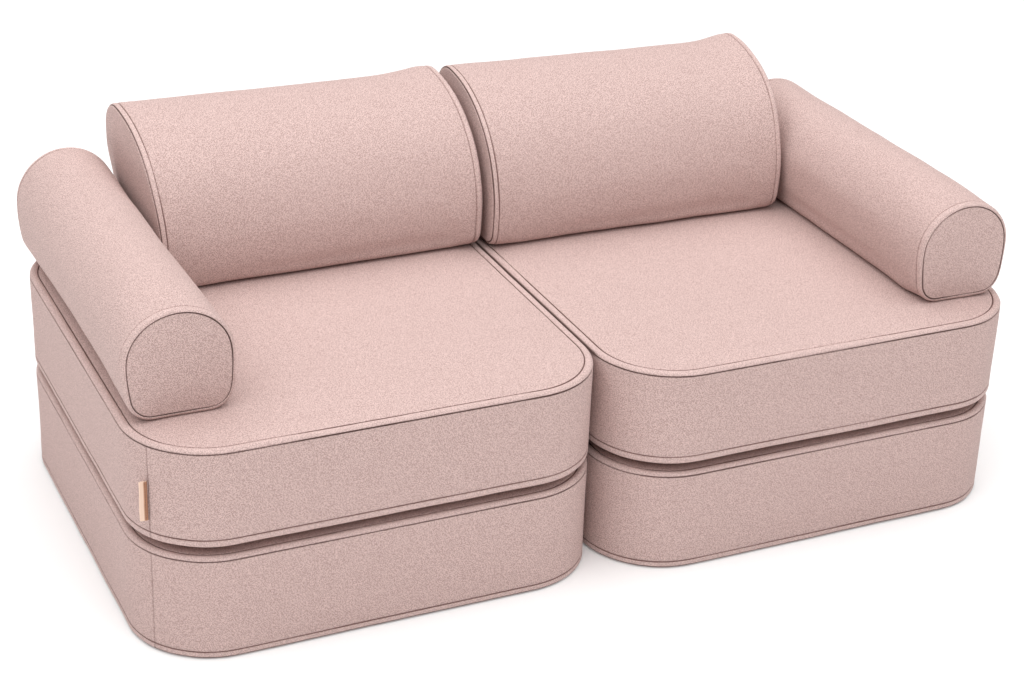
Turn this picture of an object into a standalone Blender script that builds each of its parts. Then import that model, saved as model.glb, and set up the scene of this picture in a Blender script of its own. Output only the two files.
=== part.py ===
"""Modular foam play sofa.

Two square modules stand side by side. Each is a base mattress with a seat
mattress on it, a D-shaped bolster along its outer edge as an armrest, and a
wedge-shaped backrest cushion. Every cushion is a foam core inside a removable
fabric cover, which closes with a straight zip. Metres, +Z up, front faces -Y.
The origin is on the floor, in the middle of the sofa.
"""
import bpy
import bmesh
from math import cos, sin, pi, radians
from mathutils import Matrix, Vector

# ---------------------------------------------------------------- dimensions
MODULE_W = 0.660          # width of one module, left to right
MODULE_D = 0.700          # depth of one module, front to back
MATTRESS_T = 0.156        # thickness of a base or seat mattress
CORNER_R = 0.116          # plan radius of the mattress corners
EDGE_R = 0.010            # rounding where top and bottom panels meet the sides
MODULE_GAP = 0.001        # the modules stand this far apart
RIGHT_FORWARD = 0.019     # the right module stands this much nearer the front

ARM_W = 0.148             # armrest bolster, side to side
ARM_H = 0.158
ARM_L = 0.565             # front to back
ARM_FOOT_R = 0.033        # lower corners of its D section
ARM_LEFT_X = 0.0025       # from the module's outer edge
ARM_LEFT_Y = 0.0990       # from the module's front edge
ARM_LEFT_TURN = 0.4       # degrees, as it lies in the photo
ARM_RIGHT_X = 0.5033      # from the right module's inner edge
ARM_RIGHT_Y = 0.0693
ARM_RIGHT_TURN = -0.2

BACK_W = 0.498            # backrest cushion, side to side
BACK_T = 0.242            # depth at the foot
BACK_H = 0.226
BACK_TOP_R = 0.052        # upper rear corner
BACK_FRONT_R = 0.030      # lower front corner
BACK_REAR_R = 0.015       # lower rear corner
BACK_LEFT_X = 0.1536      # from the left module's outer edge
BACK_LEFT_REAR = 0.6975   # its rear face, from the module's front edge
BACK_LEFT_TURN = 0.4      # degrees
BACK_RIGHT_X = 0.0030
BACK_RIGHT_REAR = 0.6997
BACK_RIGHT_TURN = -1.2

GAP = 0.0003              # between pieces that touch
WALL = 0.0012             # cover fabric with its seam allowance

ZIP_SLOT_V = 0.0140       # width of the opening that the zip closes
ZIP_LEN = {"mattress": 0.400, "arm": 0.260, "back": 0.380}
ZIP_MATTRESS_Z = MATTRESS_T / 2
ZIP_ARM_Z = 0.056
ZIP_ARM_FROM_FRONT = 0.028
ZIP_BACK_Z = 0.045
TAPE_TOP = -0.0002        # tape's outer face, below the cover's surface
RIDGE_TOP = 0.0007        # top of the coil
RIDGE_HALF = 0.0024
SLIDER_END = 0.0080       # slider's centre stops this far from the zip's end

SLIDER_L = 0.0110
SLIDER_W = 0.0106
SLIDER_FOOT = 0.0001
SLIDER_TOP = 0.0025
BRIDGE_TOP = 0.0048       # highest point of the slider above the cover
BRIDGE_UNDER = 0.0038
PIVOT_W = 0.00315         # axis of the pull above the cover
PULL_L = 0.026
PULL_T = 0.0008

TAG_OUT = 0.0125          # leather tag, out from the seam
TAG_H = 0.0570
TAG_Z = 0.1985            # its lower edge above the floor
TAG_LEAF = 0.0012
TAG_ANGLE = 32.0          # position on the front left corner, from the side
TAG_LEAN = 35.0           # degrees it leans back along the side

# The sofa's front edge and rear zip sliders are equally far from the origin.
FRONT_LEFT = (RIGHT_FORWARD - MODULE_D - BRIDGE_TOP) / 2
FRONT_RIGHT = FRONT_LEFT - RIGHT_FORWARD
EDGE_LEFT = -(MODULE_W + MODULE_GAP / 2)
EDGE_RIGHT = MODULE_GAP / 2
SEAT_Z = MATTRESS_T + GAP
ON_SEAT_Z = SEAT_Z + MATTRESS_T + GAP

# ------------------------------------------------------------- fresh scene
for old in list(bpy.data.objects):
    bpy.data.objects.remove(old, do_unlink=True)

parts = bpy.data.collections.new("modular_play_sofa")
cutters = bpy.data.collections.new("cutters")
bpy.context.scene.collection.children.link(parts)
bpy.context.scene.collection.children.link(cutters)

LOOKS = {
    "fabric": ((0.62, 0.43, 0.39), 0.90, 0.0),
    "foam": ((0.86, 0.82, 0.66), 0.95, 0.0),
    "zip_tape": ((0.52, 0.35, 0.32), 0.80, 0.0),
    "zip_metal": ((0.60, 0.56, 0.53), 0.35, 1.0),
    "leather": ((0.62, 0.33, 0.17), 0.55, 0.0),
}


def material(node, slot):
    color, rough, metal = LOOKS[slot]
    mat = bpy.data.materials.new(node + "_" + slot)
    mat.use_nodes = True
    shader = mat.node_tree.nodes["Principled BSDF"]
    shader.inputs["Base Color"].default_value = (*color, 1.0)
    shader.inputs["Roughness"].default_value = rough
    shader.inputs["Metallic"].default_value = metal
    mat.diffuse_color = (*color, 1.0)
    return mat


# ----------------------------------------------------------- outline helpers
def arc(cx, cy, rx, ry, start, end, steps):
    """Points of an elliptical arc, both ends included, angles in degrees."""
    out = []
    for i in range(steps + 1):
        a = radians(start + (end - start) * i / steps)
        out.append((cx + rx * cos(a), cy + ry * sin(a)))
    return out


def inset(points, d):
    """A convex outline moved inwards by d, each side kept parallel."""
    n = len(points)
    out = []
    for i in range(n):
        p0, p1, p2 = (Vector(points[(i + k) % n]) for k in (-1, 0, 1))
        e0, e1 = (p1 - p0).normalized(), (p2 - p1).normalized()
        n0, n1 = Vector((-e0.y, e0.x)), Vector((-e1.y, e1.x))
        bis = (n0 + n1).normalized()
        q = p1 + bis * (d / bis.dot(n0))
        out.append((q.x, q.y))
    return out


def mattress_outline():
    hx, hy, r = MODULE_W / 2, MODULE_D / 2, CORNER_R
    pts = []
    for sx, sy, a in ((1, 1, 0), (-1, 1, 90), (-1, -1, 180), (1, -1, 270)):
        pts += arc(sx * (hx - r), sy * (hy - r), r, r, a, a + 90, 6)
    return pts


def arm_outline():
    r, f = ARM_W / 2, ARM_FOOT_R
    pts = arc(0, ARM_H - r, r, r, 0, 180, 12)
    pts += arc(-r + f, f, f, f, 180, 270, 4)
    pts += arc(r - f, f, f, f, 270, 360, 4)
    return pts


def back_outline():
    """Section of the backrest: first coordinate front to back, second up."""
    t, h, rt = BACK_T, BACK_H, BACK_TOP_R
    rf, rr = BACK_FRONT_R, BACK_REAR_R
    low = 0.33 * h
    pts = arc(t - rt, h - rt, rt, rt, 0, 90, 6)
    pts += arc(t - rt, low, t - rt, h - low, 90, 180, 10)[1:]
    pts += arc(rf, rf, rf, rf, 180, 270, 4)
    pts += arc(t - rr, rr, rr, rr, 270, 360, 2)
    return [(p[0] - t / 2, p[1]) for p in pts]


# -------------------------------------------------------------- mesh helpers
def outline_mesh(name, outlines, thickness, bevel=0.0):
    """A flat 2D curve given a thickness, turned into a closed mesh."""
    curve = bpy.data.curves.new(name + "_outline", "CURVE")
    curve.dimensions = "2D"
    curve.fill_mode = "BOTH"
    curve.extrude = thickness / 2 - bevel
    curve.bevel_depth = bevel
    curve.offset = -bevel
    curve.bevel_resolution = 0
    for pts in outlines:
        spline = curve.splines.new("POLY")
        spline.points.add(len(pts) - 1)
        for point, (x, y) in zip(spline.points, pts):
            point.co = (x, y, 0.0, 1.0)
        spline.use_cyclic_u = True
    temp = bpy.data.objects.new(name + "_outline", curve)
    bpy.context.scene.collection.objects.link(temp)
    graph = bpy.context.evaluated_depsgraph_get()
    mesh = bpy.data.meshes.new_from_object(temp.evaluated_get(graph))
    mesh.name = name
    bpy.data.objects.remove(temp, do_unlink=True)
    bpy.data.curves.remove(curve)
    bm = bmesh.new()
    bm.from_mesh(mesh)
    bmesh.ops.remove_doubles(bm, verts=bm.verts, dist=1e-6)
    bmesh.ops.dissolve_limit(bm, angle_limit=radians(0.2), verts=bm.verts,
                             edges=bm.edges)
    bmesh.ops.recalc_face_normals(bm, faces=bm.faces)
    bm.to_mesh(mesh)
    bm.free()
    mesh.materials.clear()
    return mesh


def add_object(name, mesh, parent, local, slot=None):
    obj = bpy.data.objects.new(name, mesh)
    (parts if slot else cutters).objects.link(obj)
    obj.parent = parent
    obj.matrix_local = local
    if slot:
        if not mesh.materials:
            mesh.materials.append(None)
        obj.material_slots[0].link = "OBJECT"
        obj.material_slots[0].material = material(name, slot)
        mesh.shade_smooth()
        mesh.set_sharp_from_angle(angle=radians(35))
    else:
        obj.hide_render = True
        obj.display_type = "WIRE"
    return obj


def round_rims(obj, width):
    mod = obj.modifiers.new("rims", "BEVEL")
    mod.width = width
    mod.segments = 2
    mod.limit_method = "ANGLE"
    mod.angle_limit = radians(60)
    mod.use_clamp_overlap = False


def cut(obj, cutter):
    mod = obj.modifiers.new(cutter.name, "BOOLEAN")
    mod.operation = "DIFFERENCE"
    mod.solver = "EXACT"
    mod.object = cutter


def box_mesh(name, lo, hi):
    bm = bmesh.new()
    size = Vector(hi) - Vector(lo)
    mid = (Vector(hi) + Vector(lo)) / 2
    bmesh.ops.create_cube(bm, size=1.0)
    bmesh.ops.transform(bm, verts=bm.verts,
                        matrix=Matrix.Translation(mid)
                        @ Matrix.Diagonal((*size, 1.0)))
    mesh = bpy.data.meshes.new(name)
    bm.to_mesh(mesh)
    bm.free()
    return mesh


def axes(u, v, w, at=(0, 0, 0)):
    """Matrix that places local x, y, z along u, v, w, with its origin at at."""
    rot = Matrix((u, v, w)).transposed()
    return Matrix.Translation(at) @ rot.to_4x4()


# ------------------------------------------------------------------ zip parts
def zip_strip_mesh(length):
    half = ZIP_SLOT_V / 2 - GAP
    section = [(-half, -WALL), (half, -WALL), (half, TAPE_TOP),
               (RIDGE_HALF + 0.0003, TAPE_TOP), (RIDGE_HALF, RIDGE_TOP),
               (-RIDGE_HALF, RIDGE_TOP), (-RIDGE_HALF - 0.0003, TAPE_TOP),
               (-half, TAPE_TOP)]
    return outline_mesh("zip_strip", [section], length - 2 * GAP)


def slider_mesh():
    """Plate that bridges the coil, with a loop on top for the pull."""
    hl, hw = SLIDER_L / 2, SLIDER_W / 2
    plan = []
    for x, y, r, a in ((hl, hw * 0.80, 0.0016, 0), (-hl, hw, 0.0022, 90),
                       (-hl, -hw, 0.0022, 180), (hl, -hw * 0.80, 0.0016, 270)):
        cx = x - r if x > 0 else x + r
        cy = y - r if y > 0 else y + r
        plan += arc(cx, cy, r, r, a, a + 90, 3)
    body = outline_mesh("slider", [plan], SLIDER_TOP - SLIDER_FOOT, 0.0003)
    body.transform(Matrix.Translation((0, 0, (SLIDER_TOP + SLIDER_FOOT) / 2)))
    block = bpy.data.objects.new("slider_block", body)
    bpy.context.scene.collection.objects.link(block)

    groove = bpy.data.objects.new("slider_groove", box_mesh(
        "slider_groove", (-0.02, -RIDGE_HALF - 0.0006, -0.002),
        (0.02, RIDGE_HALF + 0.0006, RIDGE_TOP + GAP)))
    u, low, lift = 0.0042, SLIDER_TOP - 0.0002, 0.0006
    arch = [(-u, low), (-0.0027, low), (-0.0027, BRIDGE_UNDER),
            (0.0027, BRIDGE_UNDER), (0.0027, low), (u, low),
            (u, BRIDGE_TOP - lift), (u - lift, BRIDGE_TOP),
            (-u + lift, BRIDGE_TOP), (-u, BRIDGE_TOP - lift)]
    bridge_mesh = outline_mesh("slider_bridge", [arch], 0.0024)
    bridge_mesh.transform(axes((1, 0, 0), (0, 0, 1), (0, -1, 0)))
    bridge = bpy.data.objects.new("slider_bridge", bridge_mesh)
    for helper in (groove, bridge):
        cutters.objects.link(helper)
        helper.hide_render = True
        helper.display_type = "WIRE"
    cut(block, groove)
    join = block.modifiers.new("bridge", "BOOLEAN")
    join.operation = "UNION"
    join.solver = "EXACT"
    join.object = bridge
    graph = bpy.context.evaluated_depsgraph_get()
    mesh = bpy.data.meshes.new_from_object(block.evaluated_get(graph))
    mesh.name = "zip_slider"
    for helper in (block, groove, bridge):
        bpy.data.objects.remove(helper, do_unlink=True)
    return mesh


def pull_mesh():
    """Flat pull tab along -x from its pivot, with an eye round the bridge."""
    tip = 0.0040
    plan = arc(-PULL_L + tip, 0, tip, tip, 90, 270, 8)
    plan += arc(-0.0006, -0.0025, 0.0010, 0.0010, 270, 360, 2)
    plan += arc(-0.0006, 0.0025, 0.0010, 0.0010, 0, 90, 2)
    eye = [(-0.0004, 0.0017), (-0.0052, 0.0017),
           (-0.0052, -0.0017), (-0.0004, -0.0017)]
    hole = arc(-PULL_L + 0.0048, 0, 0.0016, 0.0016, 0, -315, 7)
    return outline_mesh("zip_pull", [plan, eye, hole], PULL_T)


STRIPS = {kind: zip_strip_mesh(length) for kind, length in ZIP_LEN.items()}
SLIDER = slider_mesh()
PULL = pull_mesh()


# ------------------------------------------------------------------- cushions
def cushion(name, kind, outline, thickness, section, where, zip_frame):
    """Core, cover and zip of one cushion.

    section places the outline's plane in the cushion, where places the
    cushion in the sofa, and zip_frame puts x along the zip, y across it and
    z straight out of the cover.
    """
    frame = bpy.data.objects.new(name + "_frame", None)
    frame.empty_display_size = 0.05
    parts.objects.link(frame)
    frame.matrix_world = where

    cover = add_object(name + "_cover",
                       outline_mesh(name + "_cover", [outline], thickness),
                       frame, section, "fabric")
    round_rims(cover, EDGE_R)
    shell = cover.modifiers.new("fabric", "SOLIDIFY")
    shell.thickness = WALL
    shell.offset = -1.0
    shell.use_even_offset = True
    shell.use_quality_normals = True

    depth = WALL + GAP
    core = add_object(name + "_core",
                      outline_mesh(name + "_core", [inset(outline, depth)],
                                   thickness - 2 * depth),
                      frame, section, "foam")
    round_rims(core, EDGE_R - depth)

    half, v = ZIP_LEN[kind] / 2, ZIP_SLOT_V / 2
    slot = add_object(name + "_slot",
                      box_mesh(name + "_slot", (-half, -v, -WALL - GAP / 2),
                               (half, v, 0.003)),
                      frame, zip_frame)
    cut(cover, slot)

    strip_turn = axes((0, 1, 0), (0, 0, 1), (1, 0, 0))
    add_object(name + "_zip", STRIPS[kind], frame, zip_frame @ strip_turn,
               "zip_tape")
    rest = half - SLIDER_END
    slider = add_object(name + "_slider", SLIDER, frame,
                        zip_frame @ Matrix.Translation((rest, 0, 0)),
                        "zip_metal")
    add_object(name + "_pull", PULL, slider,
               Matrix.Translation((0, 0, PIVOT_W)), "zip_metal")
    return frame


def placed(x, y, z, turn=0.0):
    return Matrix.Translation((x, y, z)) @ Matrix.Rotation(radians(turn), 4, "Z")


# Zips on the rear faces run left to right; on the arms they run front to back
# on the side turned to the sofa's right.
def rear_zip(y, z):
    return axes((-1, 0, 0), (0, 0, 1), (0, 1, 0), (0, y, z))


flat = Matrix.Translation((0, 0, MATTRESS_T / 2))
upright = axes((1, 0, 0), (0, 0, 1), (0, -1, 0))
sideways = axes((0, 1, 0), (0, 0, 1), (1, 0, 0))

for side, edge, front in (("left", EDGE_LEFT, FRONT_LEFT),
                          ("right", EDGE_RIGHT, FRONT_RIGHT)):
    mid = (edge + MODULE_W / 2, front + MODULE_D / 2)
    for level, z in (("base", 0.0), ("seat", SEAT_Z)):
        cushion(level + "_" + side, "mattress", mattress_outline(), MATTRESS_T,
                flat, placed(mid[0], mid[1], z),
                rear_zip(MODULE_D / 2, ZIP_MATTRESS_Z))

arm_zip = axes((0, 1, 0), (0, 0, 1), (1, 0, 0),
               (ARM_W / 2, -ARM_L / 2 + ZIP_ARM_FROM_FRONT
                + ZIP_LEN["arm"] / 2, ZIP_ARM_Z))
cushion("arm_left", "arm", arm_outline(), ARM_L, upright,
        placed(EDGE_LEFT + ARM_LEFT_X + ARM_W / 2,
               FRONT_LEFT + ARM_LEFT_Y + ARM_L / 2, ON_SEAT_Z,
               ARM_LEFT_TURN), arm_zip)
cushion("arm_right", "arm", arm_outline(), ARM_L, upright,
        placed(EDGE_RIGHT + ARM_RIGHT_X + ARM_W / 2,
               FRONT_RIGHT + ARM_RIGHT_Y + ARM_L / 2, ON_SEAT_Z,
               ARM_RIGHT_TURN), arm_zip)

back_zip = rear_zip(BACK_T / 2, ZIP_BACK_Z)
cushion("back_left", "back", back_outline(), BACK_W, sideways,
        placed(EDGE_LEFT + BACK_LEFT_X + BACK_W / 2,
               FRONT_LEFT + BACK_LEFT_REAR - BACK_T / 2, ON_SEAT_Z,
               BACK_LEFT_TURN), back_zip)
cushion("back_right", "back", back_outline(), BACK_W, sideways,
        placed(EDGE_RIGHT + BACK_RIGHT_X + BACK_W / 2,
               FRONT_RIGHT + BACK_RIGHT_REAR - BACK_T / 2, ON_SEAT_Z,
               BACK_RIGHT_TURN), back_zip)


# ---------------------------------------------------------------- leather tag
def tag_mesh():
    """A strip folded double, its fold outwards and its ends in the seam."""
    ro, ri = TAG_LEAF + 0.0003, 0.0003
    x = TAG_OUT - ro
    section = [(0, -ro)] + arc(x, 0, ro, ro, -90, 90, 6) + [(0, ro)]
    section += [(0, ri)] + arc(x, 0, ri, ri, 90, -90, 2) + [(0, -ri)]
    return outline_mesh("leather_tag", [section], TAG_H)


a, lean = radians(TAG_ANGLE), radians(TAG_LEAN)
clear = CORNER_R + GAP + (TAG_LEAF + 0.0003) * sin(lean)
tag_at = (EDGE_LEFT + CORNER_R - clear * cos(a),
          FRONT_LEFT + CORNER_R - clear * sin(a),
          TAG_Z + TAG_H / 2)
out_x, out_y = -cos(a - lean), -sin(a - lean)
add_object("leather_tag", tag_mesh(), None,
           axes((out_x, out_y, 0), (-out_y, out_x, 0), (0, 0, 1), tag_at),
           "leather")

bpy.context.view_layer.update()
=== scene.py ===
"""Looks of the modular foam play sofa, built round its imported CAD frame.

Every cushion is one closed fabric shell: panels joined by sewn seams, a row of
topstitching beside each seam, and a channel for its zip. The panels between
the seams are inflated with cloth simulation, then the seams, stitches, zip and
weave are added. Metres, +Z up, front faces -Y.
"""

import math

import bpy
import numpy as np
from mathutils import Matrix, Vector


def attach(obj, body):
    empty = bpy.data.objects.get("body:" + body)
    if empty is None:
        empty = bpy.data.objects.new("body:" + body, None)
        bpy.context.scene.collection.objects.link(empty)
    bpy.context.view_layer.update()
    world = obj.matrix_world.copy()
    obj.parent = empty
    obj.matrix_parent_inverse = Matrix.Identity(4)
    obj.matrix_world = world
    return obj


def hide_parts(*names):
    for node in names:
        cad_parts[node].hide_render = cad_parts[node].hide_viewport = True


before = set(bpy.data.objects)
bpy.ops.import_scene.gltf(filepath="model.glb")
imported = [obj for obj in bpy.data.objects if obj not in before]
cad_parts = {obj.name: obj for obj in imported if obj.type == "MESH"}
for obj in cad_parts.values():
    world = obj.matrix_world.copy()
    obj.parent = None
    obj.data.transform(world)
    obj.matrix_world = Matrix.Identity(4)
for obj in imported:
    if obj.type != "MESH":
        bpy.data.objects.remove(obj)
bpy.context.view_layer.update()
MM = 0.001

# ---------------------------------------------------------------- dimensions
MODULE_W, MODULE_D, MATTRESS_T, CORNER_R = 0.660, 0.700, 0.156, 0.116
ARM_W, ARM_H, ARM_L, ARM_FOOT_R = 0.148, 0.158, 0.565, 0.033
BACK_W, BACK_T, BACK_H = 0.498, 0.242, 0.226
BACK_TOP_R, BACK_FRONT_R, BACK_REAR_R = 0.052, 0.025, 0.015
ZIP_LEN = {"mattress": 0.400, "arm": 0.260, "back": 0.380}
ZIP_ARM_Z, ZIP_BACK_Z, ZIP_ARM_FROM_FRONT = 0.056, 0.045, 0.028
SEAM_ANGLE = 32.0          # upright seam, degrees round the corner from the side
TAG_H, TAG_Z, TAG_OUT, TAG_LEAN = 0.0570, 0.1985, 0.0112, 35.0

PLACES = {                 # bottom centre of each cushion and its turn
    "base_left": (-0.3305, 0.0071, 0.0, 0.0),
    "base_right": (0.3305, -0.0119, 0.0, 0.0),
    "seat_left": (-0.3305, 0.0071, 0.1563, 0.0),
    "seat_right": (0.3305, -0.0119, 0.1563, 0.0),
    "arm_left": (-0.5840, 0.0386, 0.3126, 0.4),
    "arm_right": (0.5778, -0.0101, 0.3126, -0.2),
    "back_left": (-0.2579, 0.2336, 0.3126, 0.4),
    "back_right": (0.2525, 0.2168, 0.3126, -1.2),
}


# ------------------------------------------------------------------ outlines
def arc(cx, cy, rx, ry, start, end, steps=48):
    a = np.radians(np.linspace(start, end, steps + 1))
    return np.column_stack((cx + rx * np.cos(a), cy + ry * np.sin(a)))


class Outline:
    """A closed outline, counterclockwise. s is the length along it from its
    first corner, and each side between two corners is cut into equal cells."""

    def __init__(self, points, corners, counts):
        p = np.vstack([points, points[:1]])
        p = p[np.r_[True, np.hypot(*np.diff(p, axis=0).T) > 1e-7]]
        if np.hypot(*(p[-1] - p[0])) > 1e-7:
            p = np.vstack([p, p[:1]])
        s = np.r_[0, np.cumsum(np.hypot(*np.diff(p, axis=0).T))]
        self.length = s[-1]

        def near(c):
            fine = np.linspace(0, self.length, 20000, endpoint=False)
            x, y = (np.interp(fine, s, p[:, k]) for k in (0, 1))
            return fine[np.argmin(np.hypot(x - c[0], y - c[1]))]

        shift = near(corners[0])
        self.s = np.linspace(0, self.length, 4000, endpoint=False)
        q = (self.s + shift) % self.length
        self.p = np.column_stack([np.interp(q, s, p[:, k]) for k in (0, 1)])
        t = np.roll(self.p, -3, 0) - np.roll(self.p, 3, 0)
        t /= np.hypot(*t.T)[:, None]
        self.n = np.column_stack((-t[:, 1], t[:, 0]))
        ends = [(near(c) - shift) % self.length for c in corners]
        ends[0] = 0.0
        ends.append(self.length)
        self.nx, self.ny = counts
        cells = (self.nx, self.ny, self.nx, self.ny)
        self.columns = np.concatenate([
            np.linspace(ends[k], ends[k + 1], cells[k], endpoint=False)
            for k in range(4)])
        self.count = len(self.columns)

    def at(self, s):
        s = np.asarray(s, float)
        out = [np.interp(s, self.s, a[:, k], period=self.length)
               for a in (self.p, self.n) for k in (0, 1)]
        p, n = np.stack(out[:2], -1), np.stack(out[2:], -1)
        return p, n / np.linalg.norm(n, axis=-1, keepdims=True)

    def find(self, x, y):
        return self.s[np.argmin(np.hypot(self.p[:, 0] - x, self.p[:, 1] - y))]


def mattress_outline():
    hx, hy, r = MODULE_W / 2, MODULE_D / 2, CORNER_R
    pts = np.vstack([arc(sx * (hx - r), sy * (hy - r), r, r, a, a + 90)
                     for sx, sy, a in ((1, 1, 0), (-1, 1, 90), (-1, -1, 180),
                                       (1, -1, 270))])
    k = r * (1 - math.sqrt(0.5))
    corners = [(sx * (hx - k), sy * (hy - k))
               for sx, sy in ((-1, -1), (1, -1), (1, 1), (-1, 1))]
    return Outline(pts, corners, (56, 60))


def arm_outline():
    r, f = ARM_W / 2, ARM_FOOT_R
    pts = np.vstack([arc(0, ARM_H - r, r, r, 0, 180, 96),
                     arc(-r + f, f, f, f, 180, 270),
                     arc(r - f, f, f, f, 270, 360)])
    k, q = f * (1 - math.sqrt(0.5)), r * math.sqrt(0.5)
    corners = [(-r + k, k), (r - k, k), (q, ARM_H - r + q), (-q, ARM_H - r + q)]
    return Outline(pts, corners, (20, 20))


def back_outline():
    t, h, rt, rf, rr = BACK_T, BACK_H, BACK_TOP_R, BACK_FRONT_R, BACK_REAR_R
    low = 0.33 * h
    pts = np.vstack([arc(t - rt, h - rt, rt, rt, 0, 90),
                     arc(t - rt, low, t - rt, h - low, 90, 180, 160),
                     arc(rf, rf, rf, rf, 180, 270),
                     arc(t - rr, rr, rr, rr, 270, 360)])
    pts[:, 0] -= t / 2
    a = math.radians(133)
    shoulder = (t / 2 - rt + (t - rt) * math.cos(a), low + (h - low) * math.sin(a))
    c, k = math.sqrt(0.5), 1 - math.sqrt(0.5)
    corners = [(-t / 2 + rf * k, rf * k), (t / 2 - rr * k, rr * k),
               (t / 2 - rt * k, h - rt * k), shoulder]
    return Outline(pts, corners, (26, 26))


# ------------------------------------------------------------------ profiles
# A profile runs from the rim of one end panel over the edge, along the side
# and over the other edge. Each row is (inset from the outline, height along
# the axis, kind) in millimetres: "." is free, "p" held, "s" a seam and "t" a
# row of topstitching.
def crown(d, low=152.0, top=156.0):
    return low + (top - low) * (1 - math.exp(-(d - 11.5) / 16))


def mattress_profile(seat):
    rows = [(d, crown(d), ".") for d in (44, 36.5, 29, 22)]
    rows += [(17.6, crown(17.6), "p"), (14.9, crown(14.9) + 0.1, "p"),
             (13.5, 152.1, "p"), (12.3, 151.2, "t"), (11.1, 152.2, "p"),
             (8.9, 153.2, "p"), (6.2, 153.6, "p"), (4.2, 153.0, "p"),
             (2.4, 151.7, "p"), (1.15, 150.2, "p"), (0.6, 148.9, "p"),
             (1.0, 147.8, "s"), (0.45, 146.3, "p"), (0.35, 143.5, "p")]
    low = 23.4 if seat else 10.4
    n = 15 if seat else 17
    for k in range(1, n):
        f = k / n
        rows.append((0.35 + 0.25 * math.sin(math.pi * f),
                     143.5 + (low + 3.0 - 143.5) * f, "."))
    rows += [(0.45, low + 3.0, "p"), (0.7, low, "t")]
    if seat:
        rows += [(0.35, 20.8, "p"), (0.25, 18.2, "p"), (0.6, 15.8, "p"),
                 (1.5, 14.0, "p"), (2.8, 12.7, "s"), (4.5, 11.9, "p"),
                 (6.6, 11.3, "p"), (9.4, 10.4, "p"), (13, 9.0, "p"),
                 (18, 7.0, "p"), (24, 4.4, "p"), (31, 2.2, "p"),
                 (39, 0.7, "p"), (48, 0.1, "p"), (58, 0.0, "p")]
    else:
        rows += [(0.45, 8.4, "p"), (0.3, 6.6, "p"), (0.2, 4.9, "p"),
                 (0.45, 3.4, "p"), (1.2, 2.1, "s"), (2.7, 1.0, "p"),
                 (6.5, 0.25, "p"), (14, 0.0, "p"), (24, 0.0, "p"),
                 (34, 0.0, "p"), (44, 0.0, "p")]
    return rows


# The end panel of an arm is set in from the edge, that of a backrest is joined
# right at the edge. Both have a row of topstitching on the body.
ARM_EDGE = [(11.5, -2.5, "p"), (8.6, -2.4, "p"), (7.3, -2.6, "p"),
            (6.2, -3.2, "s"), (5.1, -2.5, "p"), (3.6, -2.7, "p"),
            (2.0, -3.9, "p"), (1.0, -5.8, "p"), (0.4, -8.2, "p"),
            (0.35, -10.6, "p"), (0.9, -12.2, "t"), (0.45, -13.9, "p"),
            (0.4, -18.5, "p")]
BACK_EDGE = [(11.5, -2.5, "p"), (7.8, -2.5, "p"), (5.0, -2.7, "p"),
             (3.4, -3.2, "p"), (2.3, -4.2, "s"), (1.3, -4.7, "p"),
             (0.8, -5.9, "p"), (0.4, -7.6, "p"), (0.25, -9.4, "p"),
             (0.4, -10.9, "p"), (1.0, -12.2, "t"), (0.5, -13.9, "p"),
             (0.4, -18.5, "p")]


def bolster_profile(length, pull, cells, cap):
    """Ends face +axis and -axis. pull(f) is how far the body draws in, with f
    running from one end of it to the other."""
    full = length / MM
    rows = [(d, full + c, k) for d, c, k in cap]
    inner = full - 2 * 18.5
    for k in range(1, cells):
        f = k / cells
        rows.append((0.4 + pull(f), full - 18.5 - inner * f, "."))
    rows += [(d, -c, k) for d, c, k in reversed(cap)]
    return rows


# --------------------------------------------------------------------- shell
def smooth(x):
    x = np.clip(x, 0, 1)
    return x * x * (3 - 2 * x)


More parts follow.
